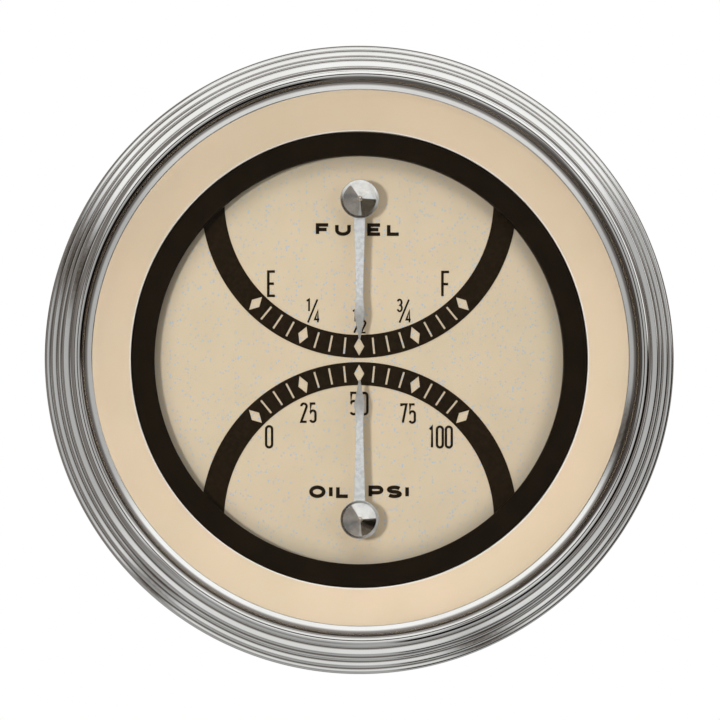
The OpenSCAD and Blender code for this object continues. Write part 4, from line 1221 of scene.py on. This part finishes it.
@dataclass
class Clamp:
    """The U-shaped strap, its washers and the two thumb nuts."""

    leg_inner: float = 43.8
    thick: float = 1.5
    width: float = 14.0
    edge: float = 0.3
    foot_z: float = -3.0
    bridge_z: float = -43.4
    bend_r: float = 2.0
    stud_x: float = 16.0
    hole_r: float = 2.7
    washer_r: float = 5.0
    washer_bore: float = 2.55
    nut_r: float = 6.5
    nut_bore: float = 2.45
    nut_z: float = -45.7
    nut_height: float = 7.5
    nut_edge: float = 0.5
    collar_step: float = 1.2
    flutes: int = 20
    flute: float = 0.35

    def strap(self) -> Shape:
        """The strap: a U of even thickness carried across its width, with its long edges rounded off.

        Its outline at distance d from the middle is drawn in by the amount that a quarter circle of the
        edge's radius takes away there.

        Returns:
            The strap without its holes.
        """
        t = np.linspace(0, np.pi / 2, 4)
        d = self.width / 2 - self.edge * (1 - np.sin(t))
        inset = self.edge * (1 - np.cos(t))
        loops = []
        for i, y in zip([*inset[::-1], *inset], [*-d[::-1], *d]):
            x1, x0 = self.leg_inner + i, self.leg_inner + self.thick - i
            z1, z0, foot = self.bridge_z - i, self.bridge_z - self.thick + i, self.foot_z - i
            outer, inner = self.bend_r + self.thick - i, self.bend_r + i
            path = rounded([
                (-x0, foot, 0.2), (-x0, z0, outer), (x0, z0, outer), (x0, foot, 0.2), (x1, foot, 0.2),
                (x1, z1, inner), (-x1, z1, inner), (-x1, foot, 0.2)], flat=0)
            loops.append(np.column_stack([path[:, 0], np.full(len(path), y), path[:, 1]]))
        return loft(np.stack(loops), Ends.CAPPED)

    def at_studs(self, shape: Shape) -> Shape:
        """A copy of the shape at each stud."""
        return shape.shifted(-self.stud_x) + shape.shifted(self.stud_x)

    def drilled(self, piece: Object) -> None:
        """Cuts the two stud holes through the strap.

        Args:
            piece: the strap.
        """
        below, above = 4.6, 3.4
        tool = disc(self.hole_r, self.bridge_z - below, self.bridge_z + above, count=48)
        cutter = added("holes", mesh_of("holes", self.at_studs(tool)))
        cut = piece.modifiers.new("holes", "BOOLEAN")
        cut.object, cut.operation, cut.solver = cutter, "DIFFERENCE", "EXACT"
        graph = bpy.context.evaluated_depsgraph_get()
        done = bpy.data.meshes.new_from_object(piece.evaluated_get(graph))
        piece.modifiers.remove(cut)
        piece.data = done
        bpy.data.objects.remove(cutter)

    def thumb_nut(self) -> Shape:
        """A fluted nut with a plain collar: its radius is cut back by a raised cosine at each of its flutes.

        Returns:
            The nut on the out axis.
        """
        count = self.flutes * 10
        bite = np.clip(0.5 - 0.75 * np.cos(self.flutes * angles(count)), 0, 1)
        top, low, edge = self.nut_z, self.nut_z - self.nut_height, self.nut_edge
        collar, neck, bevel, sink = self.nut_r - self.collar_step, top - 1.5, 0.25, 0.3
        grip, shoulder = self.nut_r - self.flute * bite, self.nut_r - edge - 0.1 * bite
        rows = [
            (self.nut_bore, top - sink), (2.8, top), (collar - bevel, top), (collar, top - bevel),
            (collar, neck + 0.1), (collar + 0.1, neck), (shoulder, neck), (grip, neck - edge),
            (grip, low + edge), (shoulder, low), (4.2, low), (3.8, low + sink), (2.9, low + sink),
            (self.nut_bore, low + 2 * sink),
        ]
        return loft(ringed(np.stack([r * np.ones(count) for r, _ in rows]), np.array([z for _, z in rows])))

    def build(self) -> None:
        """Builds the strap, washers and nuts."""
        self.drilled(make("clamp_strap_bent", self.strap(), FINISH.clamp, "clamp", "clamp_strap", sharp=30))
        ring = plate_ring(np.full(72, self.washer_r), self.washer_bore, self.nut_z, self.nut_z + 0.8, 0.1)
        make("clamp_washers_flat", self.at_studs(ring), FINISH.plated, "clamp", "clamp_washers")
        for side, name in ((-1, "left"), (1, "right")):
            nut = self.thumb_nut().shifted(side * self.stud_x)
            make(f"thumb_nut_{name}_fluted", nut, FINISH.brass, f"nut_{name}", f"thumb_nut_{name}", sharp=40)


@dataclass
class Lamp:
    """A push-in lamp: socket, contact with its blade, and bayonet bulb."""

    name: str
    side: int
    offset: float = 31.0
    angle: float = 35.0
    back_z: float = -38.0
    socket_r: float = 7.041
    wall: float = 0.5
    barrel: float = 10.0
    cup: float = 6.0
    flange_r: float = 8.191
    flange: float = 0.8
    insulator_r: float = 5.69
    insulator_z: tuple[float, float] = (-5.4, -3.4)
    contact_z: float = 0.5
    plunger_r: float = 1.5
    blade_z: float = -9.7
    blade_hole_r: float = 0.9
    blade_half: float = 0.4
    cap_r: float = 4.4
    cap_height: float = 10.0
    rib_r: float = 6.49
    rib_thick: float = 0.8
    ribs: tuple[float, float] = (3.6, 8.5)
    bulb_r: float = 4.6
    bulb_top_z: float = 22.0

    def piece(self, kind: str, shape: Shape, finish: Finish | Glass, *stands_for: str) -> None:
        """Makes one of the lamp's pieces on its axis.

        Args:
            kind: what it is, with the word that follows the lamp's name.
            shape: its shape on the out axis.
            finish: its finish.
            stands_for: the kinds of node that it replaces.
        """
        a = np.radians(self.angle)
        moved = shape.shifted(self.side * self.offset * np.cos(a), self.side * self.offset * np.sin(a))
        name, *rest = kind.split()
        make("_".join(["lamp", name, self.name, *rest]), moved, finish, f"lamp_{self.name}",
             *(f"lamp_{n}_{self.name}" for n in stands_for))

    def socket(self) -> Shape:
        """The pressed socket: thin barrel, flange, rear cup with a rolled mouth.

        Returns:
            The socket on the out axis.
        """
        z, r, cup, w = self.back_z, self.socket_r, self.socket_r - 0.8, self.wall
        front, back, mouth = z + self.barrel, z - self.flange, z - self.cup
        return turned_solid([
            (r - w, front, 0.1), (r, front, 0.2), (r, z, 0.05), (self.flange_r, z, 0.1),
            (self.flange_r, back, 0.3), (cup, back, 0.3), (cup, mouth, 0.25), (cup - w, mouth, 0.2),
            (cup - w, back, 0), (r - w, z, 0)])

    def blade(self) -> Shape:
        """The contact blade: a plate with cut corners and a round hole, stood up along the lamp's axis.

        Its rim's radius about the hole is that of the nearest side or cut corner: distance / cos(angle to
        it).

        Returns:
            The blade.
        """
        a = angles(96)
        sides = [(3.15, 0), (3.15, 180), (3.3, -90), (4.3, 90), (4.05, -45), (4.05, -135)]
        facing = [(d, np.cos(a - np.radians(t))) for d, t in sides]
        reach = [np.where(c > 0.05, d / np.maximum(c, 0.05), 99.0) for d, c in facing]
        half = self.blade_half
        flat = plate_ring(np.minimum.reduce(reach), self.blade_hole_r, -half, half, 0.08)
        x, y, z = flat.points.T
        return Shape(np.stack([x, -z, y + self.back_z + self.blade_z], -1), flat.faces)

    def build(self) -> None:
        """Builds the lamp's pieces."""
        low, high = (self.back_z + level for level in self.insulator_z)
        foot, r, rib, thick = self.back_z + self.contact_z, self.cap_r, self.rib_r, self.rib_thick
        self.piece("socket pressed", self.socket(), FINISH.nickel, "socket")
        self.piece("insulator", disc(self.insulator_r, low, high, (0.2, 0.2)), FINISH.fibre)
        plunger = disc(self.plunger_r, high, foot, (0.1, 0.2), 40)
        self.piece("blade", self.blade() + plunger, FINISH.brass, "contact")
        ribs = [(radius, foot + base + rise, bevel) for base in self.ribs for radius, rise, bevel
                in ((r, 0, 0.05), (rib, 0, 0.2), (rib, thick, 0.2), (r, thick, 0.05))]
        rim = foot + self.cap_height
        cap = [(0, foot, 0), (1.6, foot, 0.2), (r, foot + 2, 0.4), *ribs, (r, rim, 0.3), (0, rim, 0)]
        self.piece("cap", turned_solid(cap, 72), FINISH.nickel, "bulb")
        base, top = rim + 0.02, self.back_z + self.bulb_top_z
        glass = [(0, base, 0), (3.9, base, 0), (3.8, foot + 11, 0.5), (self.bulb_r, foot + 14, 1.5),
                 (self.bulb_r, top, 4.4), (0, top, 0)]
        self.piece("glass", turned_solid(glass, 72, 10), FINISH.bulb)


# ---- Studio ----

WHITE = (1, 1, 1, 1)


@dataclass(frozen=True)
class Card:
    """A soft-edged card, placed by its angles from the line out of the dial and its bearing from right."""

    glow: float
    near: float
    far: float
    bearing: float = 0.0
    reach: float = 180.0
    soft: float = 2.0
    soft_bearing: float = 10.0

    def mask(self, away: Array, bearing: Array) -> Array:
        """How far the card covers each direction, from none to one, by a smooth step at each of its edges.

        Args:
            away, bearing: directions in degrees.

        Returns:
            The card's share in each direction.
        """
        off = np.abs((bearing - self.bearing + 180) % 360 - 180)
        inside = np.minimum((away - self.near) / self.soft, (self.far - away) / self.soft)
        beside = np.full_like(off, 1.0) if self.reach >= 180 else (self.reach - off) / self.soft_bearing
        x, y = np.clip(inside + 0.5, 0, 1), np.clip(beside + 0.5, 0, 1)
        return (x * x * (3 - 2 * x)) * (y * y * (3 - 2 * y))


@dataclass
class Studio:
    """Camera, soft lamps, pale floor and white background, with cards that the polished metal reflects."""

    distance: float = 0.88
    lens: float = 300.0
    view_width: float = 0.10537
    view_plane: float = 0.0018
    aim: tuple[float, float, float] = (0.0001, 0.0, -0.00005)
    elevation: float = -3.0
    bearing: float = -2.0
    floor_z: float = -0.12
    floor_rings: tuple[float, ...] = (0.0, 0.3, 0.6, 1.1)
    floor_lit: tuple[float, float, float, float] = (0.4, 0.4, 0.39, 1.0)
    floor_seen: tuple[float, float, float, float] = (0.86, 0.86, 0.85, 1.0)
    fade: tuple[float, float] = (0.22, 0.62)
    world_light: float = 0.09
    card_radius: float = 1.5
    room: float = 0.04
    warm_below: float = 0.3
    warm: tuple[float, float, float] = (0.0, 0.26, 0.44)
    CARDS: ClassVar[list[Card]] = [
        Card(0.47, 9, 38, soft=4),
        Card(1.00, 11, 44, 87, 51, 4, 14),
        Card(0.48, 22, 42, 270, 62, 12, 24),
        Card(0.78, 9.5, 24, 270, 62, 4, 24),
        Card(0.09, 13, 34, 151, 7, 4, 9),
        Card(0.13, 16, 34, 226, 6, 4, 9),
        Card(0.13, 16, 34, 302, 6, 4, 9),
        Card(0.19, 50, 112, soft=16),
        Card(0.40, 44, 116, 270, 46, 12, 24),
        Card(0.24, 58, 96, 80, 52, 16, 20),
        Card(0.20, 46, 124, 90, 40, 12, 20),
        Card(1.35, 50, 66, 62, 55, 3, 6),
        Card(0.24, 50, 66, 197, 74, 4, 12),
        Card(0.005, 44, 76, 322, 42, 4, 5),
        Card(0.62, 124, 181, 0, 181, 16),
        Card(0.98, 132, 165, 90, 62, 10, 24),
        Card(0.28, 124, 160, 270, 58, 16, 30),
        Card(0.10, 120, 170, 12, 9, 8, 8),
        Card(0.10, 120, 170, 168, 9, 8, 8),
    ]
    LAMPS: ClassVar[dict[str, tuple[tuple[float, float, float], float, float]]] = {
        "soft_top": ((0.0, -0.45, 0.70), 0.5, 2.8),
        "soft_left": ((-0.34, -0.62, 0.0), 0.09, 2.95),
        "soft_right": ((0.55, -0.45, 0.10), 0.5, 1.25),
        "soft_back": ((0.25, 0.75, 0.60), 0.6, 8.0),
        "soft_back_left": ((-0.60, 0.55, 0.20), 0.5, 3.5),
    }

    def camera(self) -> None:
        """Looks straight at the dial, with the photograph's frame at the bezel's front."""
        data = bpy.data.cameras.new("camera")
        data.lens = self.lens
        data.sensor_width = self.view_width / (self.distance - self.view_plane) * self.lens
        data.clip_end = 20
        eye = added("camera", data)
        rise, side = np.radians([self.elevation, self.bearing])
        away = np.array([np.sin(side) * np.cos(rise), -np.cos(side) * np.cos(rise), np.sin(rise)])
        eye.location = np.array(self.aim) + self.distance * away
        eye.rotation_euler = (np.pi / 2 - rise, 0, side)
        bpy.context.scene.camera = eye

    def world(self) -> None:
        """White where it is seen directly, in metal or through glass, and a softer white as light."""
        world = bpy.data.worlds.new("studio")
        bpy.context.scene.world = world
        world.use_nodes = True
        tree = Tree(world.node_tree)
        path = tree.add("ShaderNodeLightPath").outputs
        shiny = tree.math("MAXIMUM", path["Is Glossy Ray"], path["Is Transmission Ray"])
        seen = tree.math("MAXIMUM", path["Is Camera Ray"], shiny)
        seen = tree.math("MULTIPLY", seen, tree.math("LESS_THAN", path["Diffuse Depth"], 0.5))
        light, white = (tree.add("ShaderNodeBackground", {"Color": WHITE, "Strength": strength})
                        for strength in (self.world_light, 1.0))
        both = tree.add("ShaderNodeMixShader", {0: seen, 1: light.outputs[0], 2: white.outputs[0]})
        tree.add("ShaderNodeOutputWorld", {"Surface": both.outputs[0]})

    def lamp(self, name: str, at: tuple[float, float, float], size: float, power: float) -> None:
        """A soft square lamp that faces the gauge.

        Args:
            name: its name.
            at: its place in metres.
            size: its side in metres.
            power: its power in watts.
        """
        data = bpy.data.lights.new(name, "AREA")
        data.size, data.energy = size, power
        lamp = added(name, data)
        lamp.location = at
        lamp.rotation_euler = (-lamp.location).to_track_quat("-Z", "Y").to_euler()
        lamp.visible_glossy = lamp.visible_transmission = lamp.visible_camera = False

    def staged(self, name: str, grid: Array, material: Material) -> Object:
        """Makes a stage object from a grid of points in metres whose columns go round.

        Args:
            name: its name.
            grid: rows by columns by 3.
            material: its material.

        Returns:
            The object.
        """
        mesh = bpy.data.meshes.new(name)
        index = np.arange(grid[..., 0].size).reshape(grid.shape[:2])
        mesh.from_pydata(grid.reshape(-1, 3).tolist(), [], quads_over(index).tolist())
        mesh.materials.append(material)
        piece = added(name, mesh)
        return piece

    def floor(self) -> None:
        """A pale disc under the gauge that takes its shadow and fades into the white background."""
        grid = revolve(np.array([[r, 0.0] for r in self.floor_rings]), 96)
        grid[..., 2] = self.floor_z
        grid[..., 1] *= -1
        made, tree, where = blank("pale_floor")
        reach = tree.vector("DISTANCE", where, (0.0, 0.0, self.floor_z)).outputs["Value"]
        seen = tree.add("ShaderNodeLightPath").outputs["Is Camera Ray"]
        shade = tree.mix(seen, self.floor_lit, self.floor_seen)
        pale = tree.add("ShaderNodeBsdfPrincipled", {"Base Color": shade, "Roughness": 0.8})
        white = tree.add("ShaderNodeEmission", {"Color": WHITE, "Strength": 1.0})
        far = tree.math("MULTIPLY", tree.ramp(reach, *self.fade), seen)
        both = tree.add("ShaderNodeMixShader", {0: far, 1: pale.outputs[0], 2: white.outputs[0]})
        below = tree.add("ShaderNodeNewGeometry").outputs["Backfacing"]
        clear = tree.add("ShaderNodeBsdfTransparent")
        shown = tree.add("ShaderNodeMixShader", {0: below, 1: both.outputs[0], 2: clear.outputs[0]})
        tree.add("ShaderNodeOutputMaterial", {"Surface": shown.outputs[0]})
        floor = self.staged("floor", grid, made)
        floor.visible_glossy = floor.visible_transmission = False

    def cards(self) -> None:
        """The cards round the gauge, as one bowl that only shiny surfaces see.

        A later card covers those before it, and what glows little is tinted warm. The bowl's rows are half a
        degree apart in front of the dial and one degree further round.
        """
        front, beyond = np.linspace(0, 40, 81), np.linspace(41, 180, 140)
        away = np.radians(np.concatenate([front, beyond]))[:, None]
        bearing = angles(240)[None, :]
        glow = np.full((len(away), bearing.shape[1]), self.room)
        for card in self.CARDS:
            mask = card.mask(np.degrees(away), np.degrees(bearing))
            glow = glow + (card.glow - glow) * mask
        warm = np.clip(1 - glow / self.warm_below, 0, 1)[..., None] * np.array(self.warm)
        tint = np.clip(glow[..., None] * (1 - warm), 0, 1)
        across = [np.sin(away) * np.cos(bearing), -np.cos(away) * np.ones_like(bearing),
                  np.sin(away) * np.sin(bearing)]
        made = bpy.data.materials.new("studio_cards")
        made.use_nodes = True
        tree = Tree(made.node_tree)
        colour = tree.add("ShaderNodeAttribute", attribute_name="glow").outputs["Color"]
        shine = tree.add("ShaderNodeEmission", {"Color": colour, "Strength": 1.0})
        tree.add("ShaderNodeOutputMaterial", {"Surface": shine.outputs[0]})
        bowl = self.staged("cards", self.card_radius * np.stack(across, -1), made)
        layer = bowl.data.color_attributes.new("glow", "FLOAT_COLOR", "POINT")
        values = np.concatenate([tint, np.ones_like(tint[..., :1])], -1)
        layer.data.foreach_set("color", values.astype(np.float32).ravel())
        bowl.visible_camera = bowl.visible_diffuse = bowl.visible_shadow = False

    def build(self) -> None:
        """Sets up the studio."""
        self.camera()
        self.world()
        self.floor()
        self.cards()
        for name, (at, size, power) in self.LAMPS.items():
            self.lamp(name, at, size, power)
        bpy.context.scene.view_settings.view_transform = "Standard"


def main() -> None:
    """Builds the gauge piece by piece, then the studio."""
    logging.basicConfig(level=logging.INFO, format="%(message)s")
    for part in (Front(), Dial(), Needle("fuel", False), Needle("oil", True), Back(), Clamp(),
                 Lamp("upper", 1), Lamp("lower", -1), Studio()):
        part.build()


if __name__ == "__main__":
    main()
